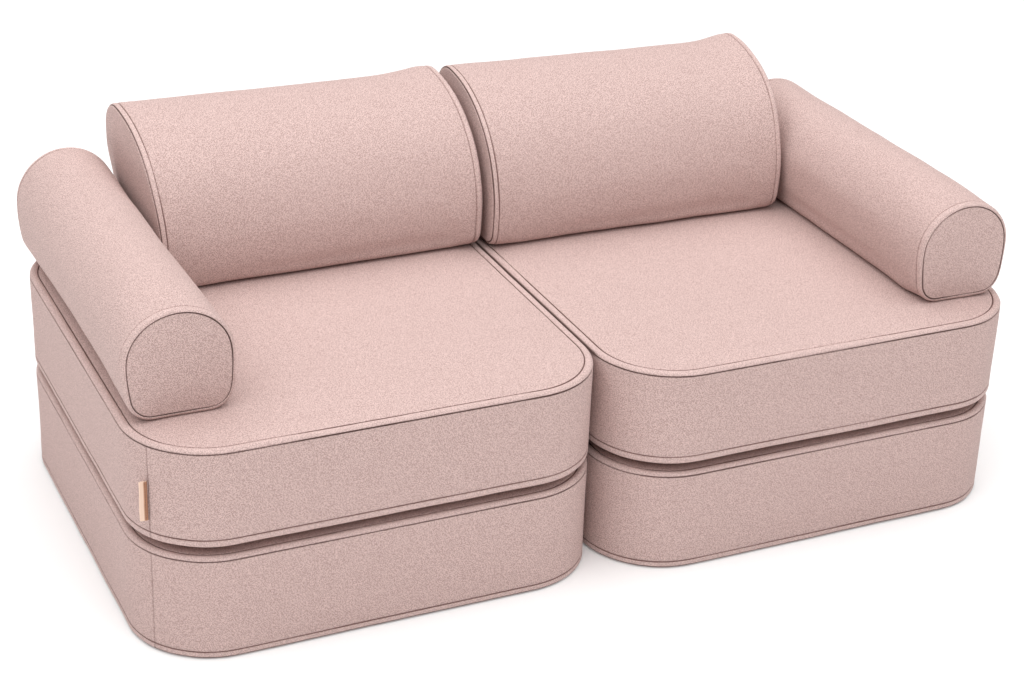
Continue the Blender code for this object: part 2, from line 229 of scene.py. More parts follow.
class Shell:
    """A closed shell swept round an outline, with a grid across each end."""

    def __init__(self, outline, rows, end_a, end_b, cluster=(), extra_rows=()):
        self.o, self.end_a, self.end_b = outline, end_a, end_b
        d, c = (np.array([r[k] for r in rows], float) * MM for k in (0, 1))
        self.kinds = [r[2] for r in rows]
        self.t = np.r_[0, np.cumsum(np.hypot(np.diff(d), np.diff(c)))]
        self.d, self.c = d, c
        self.seams = [self.t[i] for i, k in enumerate(self.kinds) if k == "s"]
        self.lines = [self.t[i] for i, k in enumerate(self.kinds) if k == "t"]
        self.cluster = cluster
        self.extra_rows = extra_rows
        self.moved = None
        self.grids = {}

    # ---- parameters of the finished rows
    def fine_rows(self):
        t = list(self.t)
        for mid in self.seams + self.lines:
            t = [x for x in t if abs(x - mid) > 1.15 * MM or x == mid]
            t += [mid + k * MM for k in (-1.15, -0.5, 0.5, 1.15)]
        for c in self.extra_rows:        # rows at given heights on the side
            lo, hi = self.seams
            side = (self.t > lo) & (self.t < hi)
            at = np.interp(-c, -self.c[side], self.t[side])
            t = [x for x in t if abs(x - at) > 0.9 * MM]
            t.append(at)
        return np.array(sorted(t))

    def warp(self):
        """Columns drawn together at the upright seams and the zip's ends."""
        s = self.o.columns.copy()
        n, length = len(s), self.o.length
        out = s.copy()
        for group in self.cluster:
            group = np.array(sorted(group))
            mid = group.mean()
            start = int(np.argmin(np.abs((s - mid + length / 2) % length
                                         - length / 2))) - len(group) // 2
            first = start - 3
            last = start + len(group) + 2
            idx = np.arange(first, last + 1)
            vals = {}
            a = s[first % n]
            b = s[last % n]
            a = mid + ((a - mid + length / 2) % length - length / 2)
            b = mid + ((b - mid + length / 2) % length - length / 2)
            for k, g in enumerate(group):
                vals[start + k] = g
            for m in (1, 2):
                vals[first + m] = a + (group[0] - a) * (m / 3) ** 0.8
                vals[last - m] = b + (group[-1] - b) * (m / 3) ** 0.8
            for i, v in vals.items():
                out[i % n] = v
        return out

    def profile(self, t):
        """Inset, height and inward direction in the profile plane at t."""
        d, c = np.interp(t, self.t, self.d), np.interp(t, self.t, self.c)
        e = 0.9 * MM
        dd = np.interp(t + e, self.t, self.d) - np.interp(t - e, self.t, self.d)
        dc = np.interp(t + e, self.t, self.c) - np.interp(t - e, self.t, self.c)
        length = np.hypot(dd, dc) + 1e-12
        return d, c, -dc / length, dd / length

    def place(self, d, c, s):
        p, n = self.o.at(s)
        return np.concatenate([p + n * d[..., None],
                               np.broadcast_to(c, s.shape)[..., None]], -1)

    def grid(self, ring_d):
        """Plan positions of an end grid, and how far each is from its rim."""
        if ring_d not in self.grids:
            o = self.o
            p, n = o.at(o.columns)
            ring = p + n * ring_d
            nx, ny = o.nx, o.ny
            idx = self.ring_index()
            g = np.zeros((ny + 1, nx + 1, 2))
            edge = idx >= 0
            g[edge] = ring[idx[edge]]
            u = np.linspace(0, 1, nx + 1)[None, :, None]
            v = np.linspace(0, 1, ny + 1)[:, None, None]
            coons = ((1 - v) * g[:1] + v * g[-1:] + (1 - u) * g[:, :1]
                     + u * g[:, -1:]
                     - (1 - u) * (1 - v) * g[0, 0] - u * (1 - v) * g[0, -1]
                     - (1 - u) * v * g[-1, 0] - u * v * g[-1, -1])
            g[1:-1, 1:-1] = coons[1:-1, 1:-1]
            for _ in range(120):
                g[1:-1, 1:-1] = (g[:-2, 1:-1] + g[2:, 1:-1] + g[1:-1, :-2]
                                 + g[1:-1, 2:]) / 4
            rim = (o.p + o.n * ring_d)[::4]
            flat = g[1:-1, 1:-1].reshape(-1, 2)
            dist = np.concatenate([
                np.sqrt(((part[:, None] - rim[None]) ** 2).sum(-1)).min(1)
                for part in np.array_split(flat, 8)])
            self.grids[ring_d] = g, dist.reshape(ny - 1, nx - 1)
        return self.grids[ring_d]

    def ring_index(self):
        nx, ny, n = self.o.nx, self.o.ny, self.o.count
        idx = -np.ones((ny + 1, nx + 1), int)
        idx[0, :] = np.arange(nx + 1)
        idx[:, nx] = nx + np.arange(ny + 1)
        idx[ny, :] = nx + ny + nx - np.arange(nx + 1)
        idx[:, 0] = (2 * nx + ny + ny - np.arange(ny + 1)) % n
        return idx

    def build(self, t, s, depth=0.0, relax=0.0):
        """Points of the whole shell: rows, then both end grids."""
        d, c, nd, nc = self.profile(t)
        depth = depth + np.zeros((len(t), self.o.count))
        dd = d[:, None] + depth * nd[:, None] - relax
        cc = c[:, None] + depth * nc[:, None]
        rows = self.place(dd, cc, s)
        ends = []
        for ring_d, fn in ((d[0], self.end_a), (d[-1], self.end_b)):
            g, dist = self.grid(round(float(ring_d), 6))
            inner = g[1:-1, 1:-1]
            z = fn(dist / MM) * MM
            ends.append(np.concatenate([inner, z[..., None]], -1))
        return rows, ends

    def topology(self, n_rows):
        n, nx, ny = self.o.count, self.o.nx, self.o.ny
        r, k = np.meshgrid(np.arange(n_rows - 1), np.arange(n), indexing="ij")
        k1 = (k + 1) % n
        side = np.stack([r * n + k, (r + 1) * n + k, (r + 1) * n + k1,
                         r * n + k1], -1).reshape(-1, 4)
        faces, base = [side], n_rows * n
        self.end_index = []
        for which, row in ((0, 0), (1, n_rows - 1)):
            idx = self.ring_index() + row * n
            idx[1:-1, 1:-1] = base + np.arange((nx - 1) * (ny - 1)).reshape(
                ny - 1, nx - 1)
            base += (nx - 1) * (ny - 1)
            self.end_index.append(idx)
            q = np.stack([idx[:-1, :-1], idx[:-1, 1:], idx[1:, 1:],
                          idx[1:, :-1]], -1).reshape(-1, 4)
            faces.append(q if which == 0 else q[:, ::-1])
        return faces

    def simulate(self, name, pressure, cap, hold=None):
        """Inflates the panels with Cloth. Held rows stay, and no point may
        move further than cap."""
        s = np.broadcast_to(self.o.columns, (len(self.t), self.o.count))
        rows, ends = self.build(self.t, s)
        co = np.concatenate([rows.reshape(-1, 3)]
                            + [e.reshape(-1, 3) for e in ends])
        faces = np.concatenate(self.topology(len(self.t)))
        held = np.zeros(len(co), bool)
        n = self.o.count
        for i, kind in enumerate(self.kinds):
            if kind != ".":
                held[i * n:(i + 1) * n] = True
        if hold is not None:
            held |= hold(co)
        out = inflate(name, co, faces, held, pressure)
        move = out - co
        size = np.linalg.norm(move, axis=1, keepdims=True) + 1e-12
        move *= cap * np.tanh(size / cap) / size
        self.moved = move
        return float(size.max())

    def shift(self, t, s):
        """The simulated movement at the finished rows and columns."""
        n = self.o.count
        if self.moved is None:
            gx = (self.o.nx - 1) * (self.o.ny - 1)
            return np.zeros((len(t), n, 3)), [np.zeros((gx, 3))] * 2
        m = self.moved[:len(self.t) * n].reshape(len(self.t), n, 3)
        k = np.clip(np.searchsorted(self.t, t, "right") - 1, 0, len(self.t) - 2)
        f = ((t - self.t[k]) / (self.t[k + 1] - self.t[k]))[:, None, None]
        by_row = m[k] * (1 - f) + m[k + 1] * f
        out = np.empty_like(by_row)
        for i in range(len(t)):
            for a in range(3):
                out[i, :, a] = np.interp(s[i], self.o.columns, by_row[i, :, a],
                                         period=self.o.length)
        rest = self.moved[len(self.t) * n:]
        half = len(rest) // 2
        return out, [rest[:half], rest[half:]]


def inflate(name, co, faces, held, pressure, frames=20):
    scene = bpy.context.scene
    mesh = bpy.data.meshes.new(name)
    mesh.from_pydata(co.tolist(), [], faces.tolist())
    obj = bpy.data.objects.new(name, mesh)
    scene.collection.objects.link(obj)
    group = obj.vertex_groups.new(name="held")
    group.add(np.flatnonzero(held).tolist(), 1.0, "REPLACE")
    cloth = obj.modifiers.new("cloth", "CLOTH")
    s = cloth.settings
    s.quality = 5
    s.mass = 0.30
    s.tension_stiffness = s.compression_stiffness = 40
    s.shear_stiffness = 15
    s.bending_stiffness = 4
    s.tension_damping = s.compression_damping = 15
    s.air_damping = 2
    s.use_pressure = True
    s.uniform_pressure_force = pressure
    s.vertex_group_mass = "held"
    s.effector_weights.gravity = 0
    cloth.collision_settings.use_collision = False
    cloth.point_cache.frame_start = 1
    cloth.point_cache.frame_end = frames
    for f in range(1, frames + 1):
        scene.frame_set(f)
    seen = obj.evaluated_get(bpy.context.evaluated_depsgraph_get())
    out = np.empty(len(co) * 3, np.float32)
    seen.data.vertices.foreach_get("co", out)
    bpy.data.objects.remove(obj, do_unlink=True)
    bpy.data.meshes.remove(mesh)
    scene.frame_set(1)
    return out.reshape(-1, 3).astype(float)


def waves(points, seed, size, reach=0.16, count=10):
    """A smooth field of gentle unevenness over the points."""
    rng = np.random.default_rng(seed)
    out = np.zeros(len(points))
    for _ in range(count):
        k = rng.normal(size=3)
        k *= 2 * math.pi / (np.linalg.norm(k) * reach * rng.uniform(0.6, 1.8))
        out += np.sin(points @ k + rng.uniform(0, 6.28)) * rng.uniform(0.4, 1)
    return out * size / math.sqrt(count)


def vertex_normals(co, faces):
    a, b, c, d = (co[faces[:, k]] for k in range(4))
    n = np.cross(c - a, d - b)
    out = np.zeros_like(co)
    for k in range(4):
        np.add.at(out, faces[:, k], n)
    return out / (np.linalg.norm(out, axis=1, keepdims=True) + 1e-15)


# ------------------------------------------------------------- mesh to object
def link(obj):
    bpy.context.scene.collection.objects.link(obj)
    return obj


def subdivided(obj, levels=1):
    """The object with one subdivision applied to its mesh."""
    mod = obj.modifiers.new("subdivide", "SUBSURF")
    mod.levels = mod.render_levels = levels
    seen = obj.evaluated_get(bpy.context.evaluated_depsgraph_get())
    mesh = bpy.data.meshes.new_from_object(seen)
    old = obj.data
    obj.modifiers.clear()
    obj.data = mesh
    mesh.name = obj.name
    bpy.data.meshes.remove(old)
    return obj


def mesh_object(name, co, faces, mat, matrix=Matrix.Identity(4), smooth_=True):
    mesh = bpy.data.meshes.new(name)
    mesh.from_pydata(np.asarray(co, float).tolist(), [],
                     [list(map(int, f)) for f in faces])
    mesh.update()
    obj = link(bpy.data.objects.new(name, mesh))
    mesh.transform(matrix)
    if mat:
        mesh.materials.append(mat)
    if smooth_:
        mesh.shade_smooth()
    return obj


def frame_of(name):
    x, y, z, turn = PLACES[name]
    return (Matrix.Translation((x, y, z))
            @ Matrix.Rotation(math.radians(turn), 4, "Z"))


AXES = {    # outline plane and axis of the shell to the cushion's x, y, z
    "mattress": Matrix.Identity(4),
    "arm": Matrix(((1, 0, 0, 0), (0, 0, -1, ARM_L / 2), (0, 1, 0, 0),
                   (0, 0, 0, 1))),
    "back": Matrix(((0, 0, 1, -BACK_W / 2), (1, 0, 0, 0), (0, 1, 0, 0),
                    (0, 0, 0, 1))),
}
# Where the zip lies in the cushion: x along it, y across it, z outwards.
def frame_from(u, v, w, at):
    m = Matrix((u, v, w)).transposed().to_4x4()
    return Matrix.Translation(at) @ m


ZIPS = {
    "mattress": frame_from((-1, 0, 0), (0, 0, 1), (0, 1, 0),
                           (0, MODULE_D / 2, MATTRESS_T / 2)),
    "arm": frame_from((0, 1, 0), (0, 0, 1), (1, 0, 0),
                      (ARM_W / 2, -ARM_L / 2 + ZIP_ARM_FROM_FRONT
                       + ZIP_LEN["arm"] / 2, ZIP_ARM_Z)),
    "back": frame_from((-1, 0, 0), (0, 0, 1), (0, 1, 0),
                       (0, BACK_T / 2, ZIP_BACK_Z)),
}


# ----------------------------------------------------------------- materials
class Net:
    """Small helper that builds a node material."""

    def __init__(self, name):
        self.mat = bpy.data.materials.new(name)
        self.mat.use_nodes = True
        self.tree = self.mat.node_tree
        self.shader = self.tree.nodes["Principled BSDF"]

    def set(self, **values):
        for key, v in values.items():
            socket = self.shader.inputs[key.replace("_", " ")]
            if isinstance(v, bpy.types.NodeSocket):
                self.tree.links.new(v, socket)
            else:
                socket.default_value = v

    def node(self, kind, inputs=(), **props):
        n = self.tree.nodes.new(kind)
        for k, v in props.items():
            setattr(n, k, v)
        for k, v in dict(inputs).items():
            if isinstance(v, bpy.types.NodeSocket):
                self.tree.links.new(v, n.inputs[k])
            else:
                n.inputs[k].default_value = v
        return n

    def math(self, op, a, b=0.0, clamp=False):
        n = self.node("ShaderNodeMath", {0: a, 1: b}, operation=op,
                      use_clamp=clamp)
        return n.outputs[0]

    def mix(self, fac, a, b, blend="MIX"):
        n = self.node("ShaderNodeMix", data_type="RGBA", blend_type=blend)
        for i, v in ((0, fac), (6, a), (7, b)):
            if isinstance(v, bpy.types.NodeSocket):
                self.tree.links.new(v, n.inputs[i])
            else:
                n.inputs[i].default_value = v
        return n.outputs[2]

    def noise(self, vector, scale, detail=2.0, rough=0.5, dims="3D"):
        n = self.node("ShaderNodeTexNoise",
                      {"Vector": vector, "Scale": scale, "Detail": detail,
                       "Roughness": rough}, noise_dimensions=dims)
        return n.outputs["Fac"]

    def ramp(self, fac, stops):
        n = self.node("ShaderNodeValToRGB", {0: fac})
        e = n.color_ramp.elements
        while len(e) < len(stops):
            e.new(0.5)
        for el, (pos, col) in zip(e, stops):
            el.position = pos
            el.color = (*col, 1)
        return n.outputs[0]

    def attribute(self, name):
        return self.node("ShaderNodeAttribute", attribute_name=name,
                         attribute_type="GEOMETRY").outputs["Fac"]

    def combine(self, x, y, z=0.0):
        return self.node("ShaderNodeCombineXYZ", {0: x, 1: y, 2: z}).outputs[0]

    def bump(self, height, strength, distance=1.0):
        return self.node("ShaderNodeBump",
                         {"Height": height, "Strength": strength,
                          "Distance": distance}).outputs[0]


def woven(name, pitch, dark, light, contrast, melange=0.5, streak=0.0):
    """Plain weave. Each yarn has its own tone, which also drifts along it, and
    thicker yarns now and then show as short streaks both ways."""
    m = Net(name)
    uv = m.node("ShaderNodeUVMap", uv_map="weave").outputs[0]
    sep = m.node("ShaderNodeSeparateXYZ", {0: uv})
    warble = m.noise(uv, 55.0, 1.0)
    shift = m.math("MULTIPLY", m.math("SUBTRACT", warble, 0.5), 0.7)
    u = m.math("ADD", m.math("DIVIDE", sep.outputs[0], pitch), shift)
    v = m.math("ADD", m.math("DIVIDE", sep.outputs[1], pitch), shift)
    iu, iv = m.math("FLOOR", u), m.math("FLOOR", v)
    fu, fv = m.math("FRACT", u), m.math("FRACT", v)
    hump_u = m.math("SINE", m.math("MULTIPLY", fu, math.pi))
    hump_v = m.math("SINE", m.math("MULTIPLY", fv, math.pi))
    over = m.math("FLOORED_MODULO", m.math("ADD", iu, iv), 2.0)
    warp = m.noise(m.combine(m.math("MULTIPLY", iu, 3.71),
                             m.math("MULTIPLY", v, 0.13)), 1.0, 1.0, 0.5)
    weft = m.noise(m.combine(m.math("MULTIPLY", u, 0.09),
                             m.math("MULTIPLY", iv, 3.71), 37.0), 1.0, 1.0, 0.5)
    tone_n = m.node("ShaderNodeMix", data_type="FLOAT")
    for i, x in ((0, over), (2, warp), (3, weft)):
        m.tree.links.new(x, tone_n.inputs[i])
    tone = tone_n.outputs[0]
    slub = m.noise(uv, 700.0, 1.0, 0.5)
    cloud = m.noise(uv, 14.0, 2.0)
    # a fleck of each crossing, less a little of the next ones both ways, so
    # that light and dark crossings lie evenly and don't clump
    t = m.math("MULTIPLY", m.math("SUBTRACT", tone, 0.5), contrast)
    for du, dv, share in ((0, 0, 1.0), (1, 0, -0.2), (0, 1, -0.2)):
        fleck = m.node("ShaderNodeTexWhiteNoise",
                       {"Vector": m.combine(m.math("ADD", iu, du),
                                            m.math("ADD", iv, dv))},
                       noise_dimensions="2D").outputs["Value"]
        t = m.math("ADD", t, m.math("MULTIPLY", m.math("SUBTRACT", fleck, 0.5),
                                    melange * share))
    t = m.math("ADD", t, m.math("MULTIPLY", m.math("SUBTRACT", cloud, 0.5),
                                0.07))
    for along, across, z in ((0, 1, 5.0), (1, 0, 9.0)):
        stretched = [m.math("MULTIPLY", sep.outputs[k],
                            300.0 if k == along else 850.0) for k in (0, 1)]
        short = m.noise(m.combine(*stretched, z), 1.0, 1.0, 0.5)
        t = m.math("ADD", t, m.math("MULTIPLY", m.math("SUBTRACT", short, 0.5),
                                    streak))
    pillow = m.math("POWER", m.math("MULTIPLY", hump_u, hump_v), 0.5)
    t = m.math("ADD", t, m.math("MULTIPLY", m.math("SUBTRACT", pillow, 0.64),
                                0.35))
    t = m.math("ADD", t, 0.5, clamp=True)
    colour = m.mix(t, (*dark, 1), (*light, 1))
    return m, uv, colour, pillow, slub


def fabric_material():
    m, uv, colour, pillow, slub = woven(
        "cover_fabric", 0.00118, FABRIC_DARK, FABRIC_LIGHT, 0.60, 1.15, 0.05)
    seam = m.attribute("seam_shade_and_dirt")
    line = m.attribute("stitch_line")
    rim = m.attribute("rim")
    # the rims are lightened: partly wear, partly a painted highlight on the
    # rounded edge
    worn_and_lit = m.math("MULTIPLY", rim, m.noise(uv, 40.0, 3.0, 0.6))
    colour = m.mix(m.math("MULTIPLY", worn_and_lit, 0.22), colour,
                   (*FABRIC_WORN_AND_LIT, 1))
    # topstitch lines darkened with painted shade of their creases
    colour = m.mix(m.math("MULTIPLY", line, 0.86), colour, (*FABRIC_SHADE, 1))
    # seams darkened with painted shade in their grooves, partly dirt
    colour = m.mix(m.math("MULTIPLY", seam, 0.94), colour, (*FABRIC_DEEP_SHADE, 1))
    pucker = m.math("MULTIPLY", m.noise(uv, 150.0, 1.0),
                    m.attribute("pucker"))
    height = m.math("ADD", m.math("MULTIPLY", pillow, 0.00014),
                    m.math("ADD", m.math("MULTIPLY", slub, 0.00034),
                           m.math("MULTIPLY", pucker, 0.0006)))
    m.set(Base_Color=colour, Normal=m.bump(height, 0.62),
          Roughness=m.math("ADD", 0.84, m.math("MULTIPLY", slub, 0.14)),
          Sheen_Weight=0.10, Sheen_Roughness=0.55,
          Specular_IOR_Level=0.18)
    m.shader.inputs["Sheen Tint"].default_value = (1.0, 0.88, 0.85, 1)
    return m.mat


def tape_material():
    m, uv, colour, pillow, slub = woven(
        "zip_tape_weave", 0.00062, (0.345, 0.215, 0.190), (0.50, 0.335, 0.300),
        0.8)
    m.set(Base_Color=colour,
          Normal=m.bump(m.math("MULTIPLY", pillow, 0.00008), 0.6),
          Roughness=m.math("ADD", 0.72, m.math("MULTIPLY", slub, 0.14)),
          Sheen_Weight=0.12, Specular_IOR_Level=0.25)
    return m.mat


def object_coords(m):
    return m.node("ShaderNodeTexCoord").outputs["Object"]


def thread_material(name, dark, light, tip):
    m = Net(name)
    uv = m.node("ShaderNodeUVMap", uv_map="weave").outputs[0]
    sep = m.node("ShaderNodeSeparateXYZ", {0: uv})
    twist = m.math("SINE", m.math("ADD",
                                  m.math("MULTIPLY", sep.outputs[0], 9000.0),
                                  m.math("MULTIPLY", sep.outputs[1], 6.283)))
    spot = m.noise(object_coords(m), 900.0, 1.0)
    colour = m.mix(m.math("MULTIPLY", m.math("ADD", twist, 1.0), 0.5),
                   (*dark, 1), (*light, 1))
    colour = m.mix(m.math("MULTIPLY", spot, 0.3), colour, (*tip, 1))
    m.set(Base_Color=colour, Roughness=m.math("ADD", 0.5,
                                              m.math("MULTIPLY", spot, 0.2)),
          Normal=m.bump(m.math("MULTIPLY", twist, 0.00005), 0.6),
          Sheen_Weight=0.1, Specular_IOR_Level=0.35)
    return m.mat


def foam_material():
    m = Net("polyurethane_foam")
    at = object_coords(m)
    cells = m.node("ShaderNodeTexVoronoi", {"Vector": at, "Scale": 900.0})
    soft = m.noise(at, 30.0, 3.0)
    colour = m.ramp(soft, [(0.3, (0.80, 0.74, 0.55)), (0.7, (0.88, 0.84, 0.68))])
    m.set(Base_Color=colour, Roughness=m.math("ADD", 0.88,
                                              m.math("MULTIPLY", soft, 0.1)),
          Normal=m.bump(m.math("MULTIPLY", cells.outputs["Distance"], 0.0004),
                        0.5),
          Specular_IOR_Level=0.15)
    return m.mat


def coil_material():
    m = Net("zip_nylon")
    at = object_coords(m)
    soft = m.noise(at, 700.0, 2.0)
    colour = m.mix(soft, (0.40, 0.255, 0.230, 1), (0.50, 0.335, 0.305, 1))
    m.set(Base_Color=colour, Roughness=m.math("ADD", 0.30,
                                              m.math("MULTIPLY", soft, 0.16)),
          Normal=m.bump(m.math("MULTIPLY", soft, 0.00003), 0.4),
          Specular_IOR_Level=0.45)
    return m.mat


def metal_material():
    m = Net("satin_nickel")
    at = object_coords(m)
    stretched = m.node("ShaderNodeMapping",
                       {"Vector": at, "Scale": (600.0, 600.0, 9000.0)})
    brushed = m.noise(stretched.outputs[0], 1.0, 3.0, 0.6)
    spots = m.noise(at, 220.0, 4.0, 0.7)
    edge = m.math("SUBTRACT",
                  m.node("ShaderNodeNewGeometry").outputs["Pointiness"], 0.5)
    bright = m.math("MULTIPLY", m.math("MAXIMUM", edge, 0.0), 6.0, clamp=True)
    colour = m.mix(spots, (0.52, 0.485, 0.455, 1), (0.66, 0.625, 0.595, 1))
    colour = m.mix(bright, colour, (0.82, 0.79, 0.76, 1))
    m.set(Base_Color=colour, Metallic=1.0,
          Roughness=m.math("ADD", 0.26, m.math("MULTIPLY", brushed, 0.2)),
          Normal=m.bump(m.math("MULTIPLY", brushed, 0.00004), 0.4))
    return m.mat


def leather_material():
    m = Net("tan_leather")
    uv = m.node("ShaderNodeUVMap", uv_map="weave").outputs[0]
    pebble = m.node("ShaderNodeTexVoronoi",
                    {"Vector": uv, "Scale": 1700.0, "Randomness": 1.0},
                    feature="SMOOTH_F1")
    grain = m.noise(uv, 420.0, 4.0, 0.7)
    cloud = m.noise(uv, 90.0, 3.0)
    # the fold and outer part of the tag are lighter: partly its pale edge, partly
    # a painted highlight on the lit face
    light = m.attribute("worn_and_lit")
    colour = m.ramp(m.math("ADD", m.math("MULTIPLY", cloud, 0.6),
                           m.math("MULTIPLY", grain, 0.4)),
                    [(0.30, (0.33, 0.140, 0.070)), (0.70, (0.50, 0.240, 0.135))])
    colour = m.mix(m.math("MULTIPLY", light, 0.95, clamp=True), colour,
                   (0.85, 0.63, 0.50, 1))
    # darker at the stitch holes, and painted shade at the root where the tag
    # enters the seam
    hole_and_root_shade = m.attribute("hole_and_root_shade")
    colour = m.mix(hole_and_root_shade, colour, (0.17, 0.075, 0.045, 1))
    height = m.math("ADD", m.math("MULTIPLY", pebble.outputs["Distance"], 0.10),
                    m.math("MULTIPLY", grain, 0.05))
    m.set(Base_Color=colour,
          Roughness=m.math("ADD", 0.42, m.math("MULTIPLY", grain, 0.22)),
          Normal=m.bump(m.math("MULTIPLY", height, 0.002), 0.5),
          Specular_IOR_Level=0.4)
    return m.mat


def floor_material():
    m = Net("studio_floor")
    at = object_coords(m)
    soft = m.noise(at, 0.7, 2.0)
    fine = m.noise(at, 60.0, 3.0)
    colour = m.mix(soft, (0.915, 0.913, 0.912, 1), (0.925, 0.924, 0.923, 1))
    # a studio's floor curves up into a lit wall: far out it glows instead
    far = m.node("ShaderNodeVectorMath", {0: at}, operation="LENGTH")
    glow = m.node("ShaderNodeMapRange",
                  {"Value": far.outputs["Value"], "From Min": 1.9,
                   "From Max": 4.6, "To Min": 0.06, "To Max": 1.0},
                  interpolation_type="SMOOTHSTEP")
    m.set(Base_Color=colour, Emission_Color=(1, 1, 1, 1),
          Emission_Strength=glow.outputs["Result"],
          Roughness=m.math("ADD", 0.75, m.math("MULTIPLY", fine, 0.1)),
          Specular_IOR_Level=0.2)
    return m.mat


FABRIC_DARK = (0.390, 0.268, 0.246)
FABRIC_LIGHT = (0.690, 0.515, 0.484)
# lighter rim tone: wear and painted highlight
FABRIC_WORN_AND_LIT = (0.80, 0.62, 0.585)
# painted shade for the topstitch lines
FABRIC_SHADE = (0.125, 0.050, 0.040)
# painted shade for the seams, partly dirt
FABRIC_DEEP_SHADE = (0.060, 0.021, 0.015)

FABRIC = fabric_material()
TAPE = tape_material()
THREAD = thread_material("sewing_thread", (0.150, 0.082, 0.070),
                         (0.260, 0.155, 0.136), (0.34, 0.21, 0.19))
TAG_THREAD = thread_material("tag_thread", (0.120, 0.062, 0.045),
                             (0.210, 0.120, 0.090), (0.26, 0.16, 0.12))
FOAM = foam_material()
NYLON = coil_material()
METAL = metal_material()
LEATHER = leather_material()


# ---------------------------------------------------------- cushion definitions
OUTLINES = {"mattress": mattress_outline(), "arm": arm_outline(),
            "back": back_outline()}
LOW_TOP = 154.6            # the crown before it is inflated


def rim_of(full, drop, bulge):
    return lambda dist: full - drop + bulge * (1 - np.exp(-dist / 14))


def flat_end(_):
    return np.zeros_like(_)


def mattress_shell(seat):
    top = lambda dist: 152.0 + (LOW_TOP - 152.0) * (
        1 - np.exp(-(44 + dist - 11.5) / 16))
    rows = []
    for d, c, k in mattress_profile(seat):
        if c > 152.0 and d > 13:
            c = crown(d, 152.0, LOW_TOP)
        rows.append((d, c, k))
    return Shell(OUTLINES["mattress"], rows, top, flat_end,
                 extra_rows=[(78 + k) * MM for k in (-8.0, -6.8, 6.8, 8.0)])


def bolster_shell(kind, length, pull, cells, ends):
    rows = bolster_profile(length, pull, cells,
                           ARM_EDGE if kind == "arm" else BACK_EDGE)
    full = length / MM
    return Shell(OUTLINES[kind], rows, rim_of(full, 2.5, 1.4),
                 lambda dist: full - rim_of(full, 2.5, 1.4)(dist),
                 extra_rows=ends)


arm_c = [ARM_L / 2 - y for y in (-ARM_L / 2 + ZIP_ARM_FROM_FRONT,
                                 -ARM_L / 2 + ZIP_ARM_FROM_FRONT
                                 + ZIP_LEN["arm"])]
back_c = [BACK_W / 2 - ZIP_LEN["back"] / 2, BACK_W / 2 + ZIP_LEN["back"] / 2]
end_rows = lambda pair: [max(pair) + 0.0007, max(pair) - 0.0007,
                         min(pair) + 0.0007, min(pair) - 0.0007]
def arm_pull(f):
    return 2.2 * math.sin(math.pi * f) ** 0.8


def back_pull(f):
    """The end by the armrest or the other back is flared out by 6 mm, and
    from there the body widens evenly towards the other end."""
    return 6.2 * (1 - math.exp(-(f / 0.062) ** 1.6)) * (1 - f) ** 1.15 + 0.8 * (
        math.sin(math.pi * f) ** 0.8)


SHELLS = {
    "seat": mattress_shell(True),
    "base": mattress_shell(False),
    "arm": bolster_shell("arm", ARM_L, arm_pull, 66, end_rows(arm_c)),
    "back": bolster_shell("back", BACK_W, back_pull, 60, end_rows(back_c)),
}
SIMULATION = {   # pressure and how far a point may move, in metres
    "seat": (4.0, 0.0021), "base": (4.0, 0.0019), "arm": (4.0, 0.0018),
    "back": (4.0, 0.0019),
}


def box_seams(left):
    """Where the side strip of a mattress is joined: on the outer front corner
    and on the inner rear corner."""
    o = OUTLINES["mattress"]
    cx, cy = MODULE_W / 2 - CORNER_R, MODULE_D / 2 - CORNER_R
    a = math.radians(SEAM_ANGLE)
    x, y = CORNER_R * math.cos(a), CORNER_R * math.sin(a)
    side = -1 if left else 1
    return [o.find(side * (cx + x), -(cy + y)),
            o.find(-side * (cx + x), cy + y)]


def clusters(kind, left):
    o = OUTLINES[kind]
    if kind == "mattress":
        groups = [[s + k * MM for k in (-1.3, -0.55, 0, 0.55, 1.3)]
                  for s in box_seams(left)]
        half = ZIP_LEN["mattress"] / 2
        for x in (half, -half):
            s = o.find(x, MODULE_D / 2)
            groups.append([s - 0.0007, s + 0.0007])
        return groups
    if kind == "arm":
        s = o.find(ARM_W / 2, ZIP_ARM_Z)
    else:
        s = o.find(BACK_T / 2, ZIP_BACK_Z)
    return [[s - 0.0080, s - 0.0068, s + 0.0068, s + 0.0080]]


def grooves(shape, shell):
    """Each seam and row of topstitching: where, how deep in the middle and
    beside it, and how dark its painted shade is from the middle outwards."""
    seam, line = (1.7, 0.8), (1.5, 0.7)
    # seam tones are painted shade in the seam grooves, partly dirt; the bottom
    # seams of seat and base are darkest, painted shade of the gap between them and
    # of the floor contact
    tones = {"seat": ((1.0, 0.86, 0.36), (1.0, 1.0, 0.75)),
             "base": ((0.88, 0.66, 0.20), (1.0, 1.0, 0.85)),
             "arm": ((0.96, 0.70, 0.10),) * 2,
             "back": ((0.80, 0.55, 0.10), (1.0, 0.88, 0.22))}[shape]
    out = [(x, seam, "seam_shade_and_dirt", tone)
           for x, tone in zip(shell.seams, tones)]
    first, second = shell.lines
    if shape in ("seat", "base"):
        out.append((first, (1.8, 0.9), "stitch_line", (1.0, 0.95, 0.38)))
        out.append((second, line, "stitch_line", (1.0, 0.80, 0.12)))
    elif shape == "arm":
        out += [(x, line, "stitch_line", (0.55, 0.42, 0.0))
                for x in shell.lines]
    else:
        out.append((first, (1.2, 0.6), "stitch_line", (0.25, 0.18, 0.0)))
        out.append((second, line, "stitch_line", (0.90, 0.75, 0.10)))
    return out


